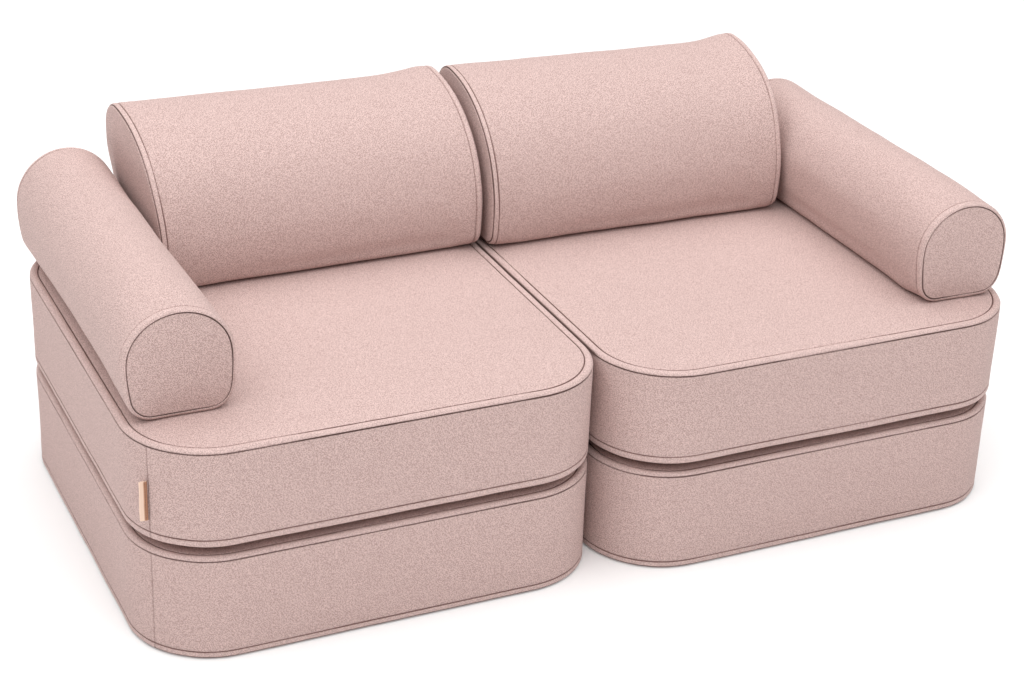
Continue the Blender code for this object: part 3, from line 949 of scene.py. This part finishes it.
def press_out(u, w, r, amount):
    """A rounded lower corner under load: u and w are how far a point is past
    the start of the rounding, sideways and down, and the foam fills it out
    to a tighter one. Returns the two new distances."""
    inside = (u > 0) & (w > 0)
    a, b = np.maximum(u, 1e-6), np.maximum(w, 1e-6)
    k = 1 + (np.hypot(a, b) / (a ** 5 + b ** 5) ** 0.2 - 1) * amount
    return (np.where(inside, np.minimum(a * k, np.maximum(a, r)), u),
            np.where(inside, np.minimum(b * k, np.maximum(b, r)), w))


def settle(name, p):
    """How a bolster lies: its soft shape differs a little from its pattern."""
    shape, side = name.split("_")
    x, y, z = p.T.copy()
    if shape == "arm":
        f, inner = ARM_FOOT_R, 1 if side == "left" else -1
        middle = smooth((ARM_L / 2 - 0.012 - np.abs(y)) / 0.050)
        u, w = press_out(inner * x - (ARM_W / 2 - f), f - z, f, middle)
        x, z = inner * (u + ARM_W / 2 - f), f - w
        sag = smooth((-ARM_L / 2 + 0.13 - y) / 0.13) ** 1.4
        z *= 1 - 0.046 * sag
        x *= 1 + 0.022 * sag
        if side == "left":
            z *= 1 + 0.035 * smooth((y - 0.05) / 0.22)
        else:
            z *= 1 - 0.020 * smooth((y - 0.06) / 0.22)
        low = smooth((0.075 - z) / 0.075)
        x -= x / (ARM_W / 2) * np.where(x < 0, 0.007, 0.004) * low
    elif shape == "back":
        f = BACK_FRONT_R
        middle = smooth((BACK_W / 2 - 0.012 - np.abs(x)) / 0.045)
        u, w = press_out(f - BACK_T / 2 - y, f - z, f, 0.75 * middle)
        y, z = f - BACK_T / 2 - u, f - w
        round_off = np.clip((np.abs(x) - BACK_W / 2 + 0.022) / 0.022, 0, 1)
        z += (0.009 * (1 - np.sqrt(1 - round_off ** 2))
              * smooth((0.055 - z) / 0.055) * smooth((0.06 - y) / 0.08))
        f = np.clip((BACK_W / 2 - x) / BACK_W, 0, 1)
        y -= (0.004 * np.exp(-((z - 0.058) / 0.036) ** 2)
              * smooth((-y - 0.05) / 0.05))
        if side == "left":
            sharp = 1 - np.exp(-(f / 0.062) ** 1.6)
            wide = 1 - np.exp(-(f / 0.17) ** 1.4)
            z *= 1 + 0.0062 / BACK_H * (sharp - wide) * (1 - f) ** 1.15
            z *= 1 - 0.0022 / BACK_H * smooth((f - 0.62) / 0.38)
            x -= (0.0085 * smooth((z - 0.078) / 0.085)
                  * smooth((f - 0.88) / 0.12)
                  * (0.35 + 0.65 * smooth((y + 0.12) / 0.24)))
            x += 0.0040 * smooth((0.06 - f) / 0.06)
        else:
            z *= 1 + (0.003 * (1 - f) + 0.0026 * smooth(f / 0.25)
                      + 0.005 * np.exp(-(f / 0.09) ** 2)) / BACK_H
            x += (0.007 * smooth((z - 0.11) / 0.10)
                  * smooth((0.10 - f) / 0.10))
    return np.column_stack((x, y, z))


def soft_cap(x, limit, width):
    """x, eased below limit over the last width."""
    over = x - (limit - width)
    return np.where(over > 0, limit - width * np.exp(-over / width), x)


def cushion(name, seed):
    shape, side = name.split("_")
    left = side == "left"
    kind = "mattress" if shape in ("seat", "base") else shape
    shell = SHELLS[shape]
    o = shell.o
    t = shell.fine_rows()
    shell.cluster = clusters(kind, left)
    warped = shell.warp()
    delta = (warped - o.columns + o.length / 2) % o.length - o.length / 2
    seam_a, seam_b = shell.seams
    line_a, line_b = shell.lines
    if kind == "mattress":
        weight = np.minimum(smooth((t - line_a) / (seam_a - line_a)),
                            smooth((shell.t[-1] - t) / (shell.t[-1] - seam_b)))
    else:
        weight = np.minimum(smooth((t - line_a) / 0.018),
                            smooth((line_b - t) / 0.018))
    s = o.columns[None, :] + weight[:, None] * delta[None, :]

    # grooves: deep along seams, shallow along the topstitching
    depth = np.zeros((len(t), o.count))
    attr = {k: np.zeros((len(t), o.count))
            for k in ("seam_shade_and_dirt", "stitch_line", "rim", "pucker")}
    for mid, deep, key, tones in grooves(shape, shell):
        off = np.abs(t - mid) / MM
        depth += (np.where(off < 0.1, deep[0],
                           np.where(off < 0.7, deep[1], 0)) * MM)[:, None]
        attr[key] += np.select([off < 0.1, off < 0.7, off < 1.3], tones,
                               0.0)[:, None]
    for a, b in (sorted((line_a, seam_a)), sorted((line_b, seam_b))):
        attr["rim"] += np.exp(-(((t - (a + b) / 2) / (0.45 * (b - a))) ** 4)
                              )[:, None]
    for mid in shell.lines:
        attr["pucker"] += np.exp(-((t - mid) / 0.006) ** 2)[:, None]
    if kind == "mattress":
        inside = ((t > seam_a - 0.0003) & (t < seam_b + 0.0003)).astype(float)
        for pos in box_seams(left):
            gap = np.abs((s - pos + o.length / 2) % o.length - o.length / 2)
            v = np.where(gap < 0.0001, 1.0, np.where(gap < 0.0007, 0.3, 0.0))
            v = v * inside[:, None]
            depth += v * 1.5 * MM
            # painted shade along the upright seam, partly dirt
            tone = 0.62 if shape == "seat" else 0.45
            attr["seam_shade_and_dirt"] = np.maximum(attr["seam_shade_and_dirt"], v * tone)

    if shape == "seat":   # painted shade darkens the narrow gap where the two seats' rims meet
        edge = o.at(s)[0][..., 0] * (1 if left else -1)
        inner = smooth((edge - (MODULE_W / 2 - 0.0015)) / 0.0012)
        near = np.abs(t - seam_a) < 2.6 * MM
        attr["seam_shade_and_dirt"] = np.maximum(attr["seam_shade_and_dirt"],
                                        0.85 * inner * near[:, None])

    # a bolster's middle draws in all round, but not where it lies on the seat
    relax = 0.0
    if kind != "mattress":
        inward = o.at(s)[1][..., 1]
        d = shell.profile(t)[0][:, None]
        body = ((t > line_a) & (t < line_b))[:, None]
        relax = np.maximum(d - 0.0004, 0) * smooth((inward - 0.35) / 0.5) * body
    rows, ends = shell.build(t, s, depth, relax)
    move, end_move = shell.shift(t, s)
    rows = rows + move
    ends = [e + m.reshape(e.shape) for e, m in zip(ends, end_move)]
    faces = shell.topology(len(t))
    co = np.concatenate([rows.reshape(-1, 3)] + [e.reshape(-1, 3)
                                                 for e in ends])
    all_faces = np.concatenate(faces)

    # gentle unevenness, then the planes it rests on and the zip's channel
    normals = vertex_normals(co, all_faces)
    size = 0.00045 if kind == "mattress" else 0.0006
    co = co + normals * (waves(co, seed, size)
                         + waves(co, seed + 7, size * 0.35, 0.05))[:, None]
    axes = np.array(AXES[kind])
    local = co @ axes[:3, :3].T + axes[:3, 3]
    flat = local.copy()
    if kind == "mattress":
        flat[:, 2] = soft_cap(flat[:, 2], MATTRESS_T, 0.0007)
        flat[:, 2] = np.maximum(flat[:, 2], 0.0)
        hx, hy = MODULE_W / 2 + 0.0002, MODULE_D / 2 + 0.0012
        flat[:, 0] = np.clip(flat[:, 0], -hx, hx)
    else:
        flat[:, 2] -= 0.0005 * smooth((0.004 - flat[:, 2]) / 0.003)
        flat[:, 2] = np.maximum(flat[:, 2], 0.0)
    local = settle(name, flat)
    zf = ZIPS[kind]
    inv = np.array(zf.inverted())
    q = local @ inv[:3, :3].T + inv[:3, 3]
    half = ZIP_LEN[kind] / 2
    near = q[:, 2] > -0.02
    ease = (smooth((half + 0.030 - np.abs(q[:, 0])) / 0.020)
            * smooth((0.030 - np.abs(q[:, 1])) / 0.016) * near)
    q[:, 2] *= 1 - ease
    sink = (np.clip((half + 0.0007 - np.abs(q[:, 0])) / 0.0014, 0, 1)
            * np.clip((0.0080 - np.abs(q[:, 1])) / 0.0012, 0, 1) * near)
    q[:, 2] -= 0.0024 * sink
    fwd = np.array(zf)
    local = q @ fwd[:3, :3].T + fwd[:3, 3]

    obj = shell_object(name + "_fabric", shell, t, s, local, faces, attr,
                       box_seams(left)[0] if kind == "mattress" else 0.0,
                       len(ends[0].reshape(-1, 3)))
    obj.data.materials.append(FABRIC)
    subdivided(obj)
    place = frame_of(name)
    obj.data.transform(place)
    obj.data.shade_smooth()
    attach(obj, name)
    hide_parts(name + "_cover")

    # topstitching: along both rows, and round the zip
    n = o.count
    paths = []
    for mid in shell.lines:
        r = int(np.argmin(np.abs(t - mid)))
        mid_row = local[r * n:(r + 1) * n]
        low, high = local[(r - 1) * n:r * n], local[(r + 1) * n:(r + 2) * n]
        base = mid_row * 0.62 + (low + high) * 0.19
        across = local[(r + 2) * n:(r + 3) * n] - local[(r - 2) * n:(r - 1) * n]
        along = np.roll(base, -1, 0) - np.roll(base, 1, 0)
        nrm = np.cross(across, along)
        nrm /= np.linalg.norm(nrm, axis=1, keepdims=True)
        paths.append((base, nrm, True))
    paths += zip_paths(kind)
    sew(name + "_stitching", paths, place, name, seed)

    foam(name, kind, shape, place)
    zip_parts(name, kind, place @ zf)
    return obj


def shell_object(name, shell, t, s, co, faces, attr, s0, end_count):
    o = shell.o
    n, length = o.count, o.length
    all_faces = np.concatenate(faces)
    obj = mesh_object(name, co, all_faces, None)
    mesh = obj.data
    for key, values in attr.items():
        layer = mesh.attributes.new(key, "FLOAT", "POINT")
        full = np.zeros(len(co), np.float32)
        full[:values.size] = values.ravel()
        layer.data.foreach_set("value", full)

    # the weave's map in metres, one flat piece for each sewn panel
    seam_a, seam_b = shell.seams
    d, _, _, _ = shell.profile(t)
    p, nrm = o.at(s)
    open_a = d[0] - (t - t[0])
    open_b = d[-1] - (t[-1] - t)
    plan_a = p + nrm * open_a[:, None, None]
    plan_b = p + nrm * open_b[:, None, None]
    r, k = np.meshgrid(np.arange(len(t) - 1), np.arange(n), indexing="ij")
    k1 = (k + 1) % n
    start = (s[r, k] - s0) % length
    start = np.where(start > length - 1e-5, 0.0, start)
    start2 = (s[r + 1, k] - s0) % length
    start2 = np.where(start2 > length - 1e-5, 0.0, start2)
    start2 = np.where(start2 - start > length / 2, start2 - length, start2)
    start2 = np.where(start - start2 > length / 2, start2 + length, start2)
    step = (s[r, k1] - s[r, k]) % length
    step2 = (s[r + 1, k1] - s[r + 1, k]) % length
    v0, v1 = -t[r], -t[r + 1]
    side = np.stack([np.stack([start, v0], -1), np.stack([start2, v1], -1),
                     np.stack([start2 + step2, v1], -1),
                     np.stack([start + step, v0], -1)], 2)
    for plan, rows in ((plan_a, t[:-1] < seam_a - 1e-6),
                       (plan_b, t[:-1] > seam_b - 1e-6)):
        flat = np.stack([plan[r, k], plan[r + 1, k], plan[r + 1, k1],
                         plan[r, k1]], 2)
        side[rows] = flat[rows]
    uv = [side.reshape(-1, 4, 2)]
    plan_of = np.zeros((len(co), 2))
    plan_of[:n] = plan_a[0]
    plan_of[(len(t) - 1) * n:len(t) * n] = plan_b[-1]
    for which, ring in enumerate((d[0], d[-1])):
        g = shell.grid(round(float(ring), 6))[0][1:-1, 1:-1].reshape(-1, 2)
        at = len(t) * n + which * end_count
        plan_of[at:at + len(g)] = g
        uv.append(plan_of[faces[1 + which]])
    uv = np.concatenate([u.reshape(-1, 2) for u in uv])
    layer = mesh.uv_layers.new(name="weave")
    layer.data.foreach_set("uv", uv.astype(np.float32).ravel())
    return obj


# ------------------------------------------------------------------ stitching
def resample(points, normals, closed, pitch):
    p = np.vstack([points, points[:1]]) if closed else np.asarray(points)
    q = np.vstack([normals, normals[:1]]) if closed else np.asarray(normals)
    s = np.r_[0, np.cumsum(np.linalg.norm(np.diff(p, axis=0), axis=1))]
    count = max(1, int(round(s[-1] / pitch)))
    return p, q, s, (np.arange(count) + 0.5) * s[-1] / count


def capsules(centres, tangents, normals, half, radius, rings=5, sides=6,
             arch=0.0004, bury=0.0003):
    """Short round bars that dip at both ends."""
    m = len(centres)
    across = np.cross(tangents, normals)
    x = np.linspace(-1, 1, rings)
    r = radius * np.sqrt(np.clip(1 - (0.93 * np.abs(x)) ** 6, 0, 1))
    h = arch * (1 - x ** 2) - bury
    ang = np.arange(sides) * 2 * math.pi / sides
    half = np.broadcast_to(half, (m,))
    pts = (centres[:, None, None]
           + tangents[:, None, None] * (half[:, None] * x)[:, :, None, None]
           + normals[:, None, None] * h[None, :, None, None]
           + across[:, None, None] * (r[:, None] * np.cos(ang))[None, ..., None]
           + normals[:, None, None] * (r[:, None] * np.sin(ang))[None, ...,
                                                                 None])
    base = (np.arange(m) * rings * sides)[:, None, None]
    i = np.arange(rings - 1)[None, :, None] * sides
    j = np.arange(sides)[None, None, :]
    j1 = (j + 1) % sides
    quads = np.stack([base + i + j, base + i + j1, base + i + sides + j1,
                      base + i + sides + j], -1).reshape(-1, 4)
    uv_x = np.broadcast_to(x[None, :, None] * np.mean(half), pts.shape[:3])
    uv_y = np.broadcast_to(ang[None, None, :] / (2 * math.pi), pts.shape[:3])
    uv = np.stack([uv_x, uv_y], -1).reshape(-1, 2)
    caps = []
    for ring, flip in ((0, True), (rings - 1, False)):
        c = (np.arange(m) * rings * sides + ring * sides)[:, None] \
            + np.arange(sides)[None]
        caps.append(c[:, ::-1] if flip else c)
    return pts.reshape(-1, 3), quads, np.concatenate(caps), uv


def sew(name, paths, place, body, seed, pitch=0.0046, length=0.0034,
        radius=0.00040, mat=None):
    rng = np.random.default_rng(seed + 100)
    pts, quads, caps, uvs, base = [], [], [], [], 0
    for points, normals, closed in paths:
        p, q, s, at = resample(points, normals, closed, pitch)
        c = np.stack([np.interp(at, s, p[:, k]) for k in range(3)], -1)
        a = np.stack([np.interp(at - 0.001, s, p[:, k]) for k in range(3)], -1)
        b = np.stack([np.interp(at + 0.001, s, p[:, k]) for k in range(3)], -1)
        nrm = np.stack([np.interp(at, s, q[:, k]) for k in range(3)], -1)
        nrm /= np.linalg.norm(nrm, axis=1, keepdims=True)
        tan = b - a
        tan /= np.linalg.norm(tan, axis=1, keepdims=True)
        tan += np.cross(tan, nrm) * rng.normal(0, 0.03, (len(c), 1))
        tan /= np.linalg.norm(tan, axis=1, keepdims=True)
        v, f, e, uv = capsules(c, tan, nrm,
                               length / 2 * rng.uniform(0.95, 1.05, len(c)),
                               radius)
        pts.append(v)
        quads.append(f + base)
        caps.append(e + base)
        uvs.append(uv)
        base += len(v)
    faces = [*np.concatenate(quads).tolist(), *np.concatenate(caps).tolist()]
    obj = mesh_object(name, np.concatenate(pts), faces, mat or THREAD, place)
    vert_uv = np.concatenate(uvs)
    mesh = obj.data
    layer = mesh.uv_layers.new(name="weave")
    idx = np.empty(len(mesh.loops), np.int32)
    mesh.loops.foreach_get("vertex_index", idx)
    layer.data.foreach_set("uv", vert_uv[idx].astype(np.float32).ravel())
    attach(obj, body)
    return obj


def zip_paths(kind):
    """Rows of stitching that hold the zip, in the cushion's own axes."""
    half, off = ZIP_LEN[kind] / 2, 0.0108
    m = np.array(ZIPS[kind])
    out = []
    x = np.linspace(-half - 0.0035, half + 0.0035, 90)
    y = np.linspace(-off, off, 8)
    for pts in ([(a, off, 0.0) for a in x], [(a, -off, 0.0) for a in x],
                [(half + 0.0035, b, 0.0) for b in y],
                [(-half - 0.0035, b, 0.0) for b in y]):
        p = np.array(pts) @ m[:3, :3].T + m[:3, 3]
        out.append((p, np.broadcast_to(m[:3, 2], p.shape), False))
    return out


# ------------------------------------------------------------------ foam core
def foam(name, kind, shape, place):
    o = OUTLINES[kind]
    if kind == "mattress":
        full = 156.0
        rows = [(44, full - 6.2), (24, full - 6.6), (12, full - 8.0),
                (7.5, full - 10.5), (6.0, full - 15)]
        rows += [(6.0, full - 15 - (full - 43) * k / 10) for k in range(1, 10)]
        if shape == "seat":
            rows += [(6.6, 28), (9.5, 21.5), (16, 16), (26, 10.5), (40, 6.6),
                     (58, 5.0)]
            ends = (lambda d: np.full_like(d, full - 6.0),
                    lambda d: np.full_like(d, 4.6))
        else:
            rows += [(6.4, 24), (7.5, 12), (11, 7.0), (18, 5.2), (44, 4.8)]
            ends = (lambda d: np.full_like(d, full - 6.0),
                    lambda d: np.full_like(d, 4.6))
    else:
        full, pull = ((ARM_L / MM, arm_pull) if kind == "arm"
                      else (BACK_W / MM, back_pull))
        edge = [(10.4, -8.4), (8.4, -9.2), (7.0, -11.5), (6.2, -16)]
        rows = [(d, full + c) for d, c in edge]
        for k in range(1, 24):
            f = k / 24
            rows.append((5.8 + pull(f), full - 16 - (full - 32) * f))
        rows += [(d, -c) for d, c in reversed(edge)]
        ends = (lambda d: np.full_like(d, full - 8.0),
                lambda d: np.full_like(d, 8.0))
    sh = Shell(o, [(d, c, ".") for d, c in rows], *ends)
    s = np.broadcast_to(o.columns, (len(sh.t), o.count))
    pts, caps = sh.build(sh.t, s)
    co = np.concatenate([pts.reshape(-1, 3)] + [c.reshape(-1, 3) for c in caps])
    m = np.array(AXES[kind])
    co = co @ m[:3, :3].T + m[:3, 3]
    if kind != "mattress":
        co[:, 2] = np.maximum(co[:, 2], 0.005)
        co = settle(name, co)
    obj = mesh_object(name + "_foam", co, np.concatenate(
        sh.topology(len(sh.t))), FOAM, place)
    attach(obj, name)
    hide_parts(name + "_core")
    return obj


# ------------------------------------------------------------------------ zip
def zip_parts(name, kind, zf):
    half = ZIP_LEN[kind] / 2 - 0.0003
    # two tapes, each thicker along its edge by the coil
    section = [(6.55, -1.55), (6.55, -1.05), (5.2, -0.85), (3.7, -0.70),
               (2.9, -0.55), (2.5, -0.20), (2.15, -0.10), (1.9, -0.35),
               (1.85, -1.0), (2.6, -1.35), (4.4, -1.5)]
    xs = np.linspace(-half, half, 61)
    co, faces, uv_of = [], [], []
    for sign in (1, -1):
        start = len(co)
        for x in xs:
            for y, z in section:
                wobble = 0.00005 * math.sin(x * 410 + y)
                co.append((x, sign * (y * MM + wobble), z * MM))
                uv_of.append((x, sign * y * MM))
        n = len(section)
        for i in range(len(xs) - 1):
            for j in range(n):
                a, b = start + i * n + j, start + i * n + (j + 1) % n
                quad = (a, a + n, b + n, b)
                faces.append(quad if sign > 0 else quad[::-1])
        first = [start + j for j in range(n)]
        last = [start + (len(xs) - 1) * n + j for j in range(n)]
        faces.append(first if sign > 0 else first[::-1])
        faces.append(last[::-1] if sign > 0 else last)
    tape = mesh_object(name + "_zip_tape", co, faces, TAPE, zf)
    layer = tape.data.uv_layers.new(name="weave")
    idx = np.empty(len(tape.data.loops), np.int32)
    tape.data.loops.foreach_get("vertex_index", idx)
    layer.data.foreach_set("uv", np.array(uv_of, np.float32)[idx].ravel())
    tape.data.set_sharp_from_angle(angle=math.radians(50))
    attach(tape, name)
    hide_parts(name + "_zip")

    # the coil: teeth from both sides that lock in the middle
    pitch = 0.00135
    count = int((2 * half - 0.010) / pitch)
    x = (np.arange(count) - (count - 1) / 2) * pitch
    c1 = np.stack([x, np.full(count, 0.00068), np.full(count, 0.00010)], -1)
    c2 = np.stack([x + pitch / 2, np.full(count, -0.00068),
                   np.full(count, 0.00010)], -1)
    tan = np.tile((0.06, 1.0, 0.0), (count, 1))
    tan /= np.linalg.norm(tan[0])
    nrm = np.tile((0.0, 0.0, 1.0), (count, 1))
    v1, f1, e1, _ = capsules(c1, tan, nrm, 0.00150, 0.00034, 4, 5, 0.00025, 0.0)
    tan2 = tan * (1, -1, 1)
    v2, f2, e2, _ = capsules(c2, -tan2, nrm, 0.00150, 0.00034, 4, 5, 0.00025,
                             0.0)
    pts = [v1, v2]
    faces = [*f1.tolist(), *e1.tolist(), *(f2 + len(v1)).tolist(),
             *(e2 + len(v1)).tolist()]
    base = len(v1) + len(v2)
    for end in (-1, 1):      # end stops, folded round both tape edges
        cx = end * (half - 0.0028)
        ring = []
        for dx, grow in ((-1.6, 0.72), (-1.3, 1.0), (1.3, 1.0), (1.6, 0.72)):
            for k in range(10):
                a = 2 * math.pi * k / 10
                ring.append((cx + dx * MM, 0.0026 * grow * math.cos(a),
                             -0.0002 + 0.00095 * grow * math.sin(a)))
        pts.append(np.array(ring))
        for i in range(3):
            for k in range(10):
                a, b = base + i * 10 + k, base + i * 10 + (k + 1) % 10
                faces.append([a, a + 10, b + 10, b][::-1])
        faces.append([base + k for k in range(10)])
        faces.append([base + 30 + k for k in range(10)][::-1])
        base += 40
    coil = mesh_object(name + "_zip_coil", np.concatenate(pts), faces, NYLON,
                       zf)
    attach(coil, name)


# ------------------------------------------------------------------ leather tag
def leather_tag():
    """A strip folded double. Its ends are sewn into the upright seam and a row
    of stitches holds its two leaves together."""
    lean = math.radians(TAG_LEAN)
    a = math.radians(SEAM_ANGLE)
    clear = CORNER_R + 0.0003 + 0.0015 * math.sin(lean)
    x0, y0, z0, _ = PLACES["seat_left"]
    at = (x0 - MODULE_W / 2 + CORNER_R - clear * math.cos(a),
          y0 - MODULE_D / 2 + CORNER_R - clear * math.sin(a),
          TAG_Z + TAG_H / 2)
    out = (-math.cos(a - lean), -math.sin(a - lean), 0)
    place = frame_from(out, (-out[1], out[0], 0), (0, 0, 1), at)

    def leaf(x, offset):
        """Half thickness of the folded strip at x, outside or inside."""
        open_ = 0.00055 + 0.00030 * smooth(np.array(x / 0.013))
        return float(open_) + offset

    fold = TAG_OUT - 0.0016
    xs = np.linspace(0.0, fold, 15)
    section, worn_and_lit = [], []
    for x in xs:
        section.append((x, -leaf(x, 0.00070)))
        worn_and_lit.append(0.0)
    r = leaf(fold, 0.00070)
    for k in range(1, 10):
        b = -math.pi / 2 + math.pi * k / 10
        section.append((fold + 1.02 * r * math.cos(b), r * math.sin(b)))
        worn_and_lit.append(0.55 + 0.45 * math.cos(b))
    for x in xs[::-1]:
        section.append((x, leaf(x, 0.00070)))
        worn_and_lit.append(0.0)
    for x in xs:
        section.append((x, leaf(x, -0.00045)))
        worn_and_lit.append(0.4)
    r = leaf(fold, -0.00045)
    for k in range(1, 5):
        b = math.pi / 2 - math.pi * k / 5
        section.append((fold + r * math.cos(b), r * math.sin(b)))
        worn_and_lit.append(0.4)
    for x in xs[::-1]:
        section.append((x, -leaf(x, -0.00045)))
        worn_and_lit.append(0.4)
    n, rows = len(section), 44
    zs = TAG_H / 2 * np.sin(np.linspace(-1, 1, rows) * math.pi / 2
                            * 0.93) / math.sin(math.pi / 2 * 0.93)
    co, uv, wear_and_lit, holes_and_root_shade = [], [], [], []
    run = np.r_[0, np.cumsum(np.hypot(*np.diff(np.array(section), axis=0).T))]
    for z in zs:
        edge = max(0.0, 1 - (TAG_H / 2 - abs(z)) / 0.0007)
        thin = 1 - 0.22 * edge
        for (x, y), w, u in zip(section, worn_and_lit, run):
            k = x / TAG_OUT
            bend = (0.0010 * k * k * math.sin(z * 58 + 0.6)
                    - 0.0006 * k * math.cos(z * 95))
            co.append((x - 0.0004 * k * edge
                       - 0.0005 * k * (math.sin(z * 130) * 0.5 + 0.5),
                       y * thin + bend, z))
            uv.append((u, z))
            # lighter towards the outer part and fold: pale edge and painted
            # highlight
            wear_and_lit.append(min(1.0, w + 0.8 * max(0.0, edge)
                            + 0.95 * smooth(np.array((x - 0.0042) / 0.0018))))
            # stitch-hole darkening, and painted shade at the root by the seam
            holes_and_root_shade.append(math.exp(-((x - 0.0030) / 0.0006) ** 2) * 0.55
                         + 0.95 * math.exp(-(x / 0.0011) ** 2))
    faces = [(i * n + j, i * n + (j + 1) % n, (i + 1) * n + (j + 1) % n,
              (i + 1) * n + j) for i in range(rows - 1) for j in range(n)]
    outer = list(range(2 * len(xs) + 9))
    inner = list(range(2 * len(xs) + 9, n))[::-1]
    for row, flip in ((0, True), (rows - 1, False)):
        base = row * n
        # outer and inner runs have different counts over the fold
        a_, b_ = outer, inner
        i = j = 0
        while i < len(a_) - 1 or j < len(b_) - 1:
            fi, fj = i / (len(a_) - 1), j / (len(b_) - 1)
            if (fi <= fj and i < len(a_) - 1) or j == len(b_) - 1:
                tri = (base + a_[i], base + a_[i + 1], base + b_[j])
                i += 1
            else:
                tri = (base + a_[i], base + b_[j + 1], base + b_[j])
                j += 1
            faces.append(tri[::-1] if flip else tri)
    tag = mesh_object("leather_tag_strip", co, faces, LEATHER, place)
    mesh = tag.data
    for key, values in (("worn_and_lit", wear_and_lit), ("hole_and_root_shade", holes_and_root_shade)):
        layer = mesh.attributes.new(key, "FLOAT", "POINT")
        layer.data.foreach_set("value", np.array(values, np.float32))
    layer = mesh.uv_layers.new(name="weave")
    idx = np.empty(len(mesh.loops), np.int32)
    mesh.loops.foreach_get("vertex_index", idx)
    layer.data.foreach_set("uv", np.array(uv, np.float32)[idx].ravel())
    mesh.set_sharp_from_angle(angle=math.radians(50))
    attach(tag, "seat_left")
    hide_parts("leather_tag")

    paths = []
    zz = np.linspace(-TAG_H / 2 + 0.0022, TAG_H / 2 - 0.0022, 40)
    for sign in (-1, 1):
        x = 0.0030
        k = x / TAG_OUT
        bend = (0.0010 * k * k * np.sin(zz * 58 + 0.6)
                - 0.0006 * k * np.cos(zz * 95))
        pts = np.column_stack([np.full_like(zz, x - 0.0004 * k),
                               bend + sign * leaf(x, 0.00070), zz])
        paths.append((pts, np.tile((0.0, sign, 0.0), (len(zz), 1)), False))
    sew("leather_tag_stitching", paths, place, "seat_left", 5, pitch=0.0038,
        length=0.0027, radius=0.00036, mat=TAG_THREAD)


# ------------------------------------------------------------------ the sofa
def near_zip(kind):
    axes, inv = np.array(AXES[kind]), np.array(ZIPS[kind].inverted())

    def hold(co):
        q = co @ axes[:3, :3].T + axes[:3, 3]
        q = q @ inv[:3, :3].T + inv[:3, 3]
        return ((np.abs(q[:, 0]) < ZIP_LEN[kind] / 2 + 0.014)
                & (np.abs(q[:, 1]) < 0.015) & (q[:, 2] > -0.02))
    return hold


for shape, shell in SHELLS.items():
    kind = "mattress" if shape in ("seat", "base") else shape
    pressure, cap = SIMULATION[shape]
    most = shell.simulate("inflate_" + shape, pressure, cap,
                          near_zip(kind))
    print("inflated", shape, round(most * 1000, 2), "mm at most")

for i, name in enumerate(PLACES):
    cushion(name, 11 + 17 * i)
    for part in ("_slider", "_pull"):
        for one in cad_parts[name + part].material_slots:
            one.material = METAL
leather_tag()


# ------------------------------------------------------- floor, light, camera
floor = mesh_object("floor", [(-9, -9, 0), (9, -9, 0), (9, 9, 0), (-9, 9, 0)],
                    [(0, 1, 2, 3)], floor_material(),
                    Matrix.Translation((0, 0, -0.0004)), False)

scene = bpy.context.scene
scene.view_settings.view_transform = "Standard"
scene.view_settings.look = "None"

world = bpy.data.worlds.new("studio")
scene.world = world
world.use_nodes = True
tree = world.node_tree
tree.nodes.clear()
seen = tree.nodes.new("ShaderNodeBackground")
seen.inputs["Color"].default_value = (1, 1, 1, 1)
fill = tree.nodes.new("ShaderNodeBackground")
fill.inputs["Color"].default_value = (1.0, 0.995, 0.99, 1)
fill.inputs["Strength"].default_value = 0.32
path = tree.nodes.new("ShaderNodeLightPath")
mix = tree.nodes.new("ShaderNodeMixShader")
out = tree.nodes.new("ShaderNodeOutputWorld")
tree.links.new(path.outputs["Is Camera Ray"], mix.inputs[0])
tree.links.new(fill.outputs[0], mix.inputs[1])
tree.links.new(seen.outputs[0], mix.inputs[2])
tree.links.new(mix.outputs[0], out.inputs[0])


def soft_light(name, at, target, size, power, colour=(1, 1, 1)):
    data = bpy.data.lights.new(name, "AREA")
    data.shape = "RECTANGLE"
    data.size, data.size_y = size
    data.energy = power
    data.color = colour
    obj = link(bpy.data.objects.new(name, data))
    obj.location = at
    aim = Vector(target) - Vector(at)
    obj.rotation_euler = aim.to_track_quat("-Z", "Y").to_euler()
    return obj


soft_light("overhead", (-0.38, -0.5, 3.6), (-0.05, -0.1, 0.2), (7.5, 7.5), 345)

cam = bpy.data.cameras.new("camera")
cam.sensor_width = 36.0
cam.lens = 2174.03 / 1024 * 36.0
cam.clip_end = 60
camera = link(bpy.data.objects.new("camera", cam))
az, pitch, roll = (math.radians(v) for v in (25.582, 26.32, 2.324))
forward = Vector((math.sin(az) * math.cos(pitch),
                  math.cos(az) * math.cos(pitch), -math.sin(pitch)))
right = Vector((math.cos(az), -math.sin(az), 0))
up = right.cross(forward)
right, up = (right * math.cos(roll) + up * math.sin(roll),
             -right * math.sin(roll) + up * math.cos(roll))
camera.matrix_world = frame_from(right, up, -forward,
                                 (-1.2595, -2.6235, 1.6338))
scene.camera = camera
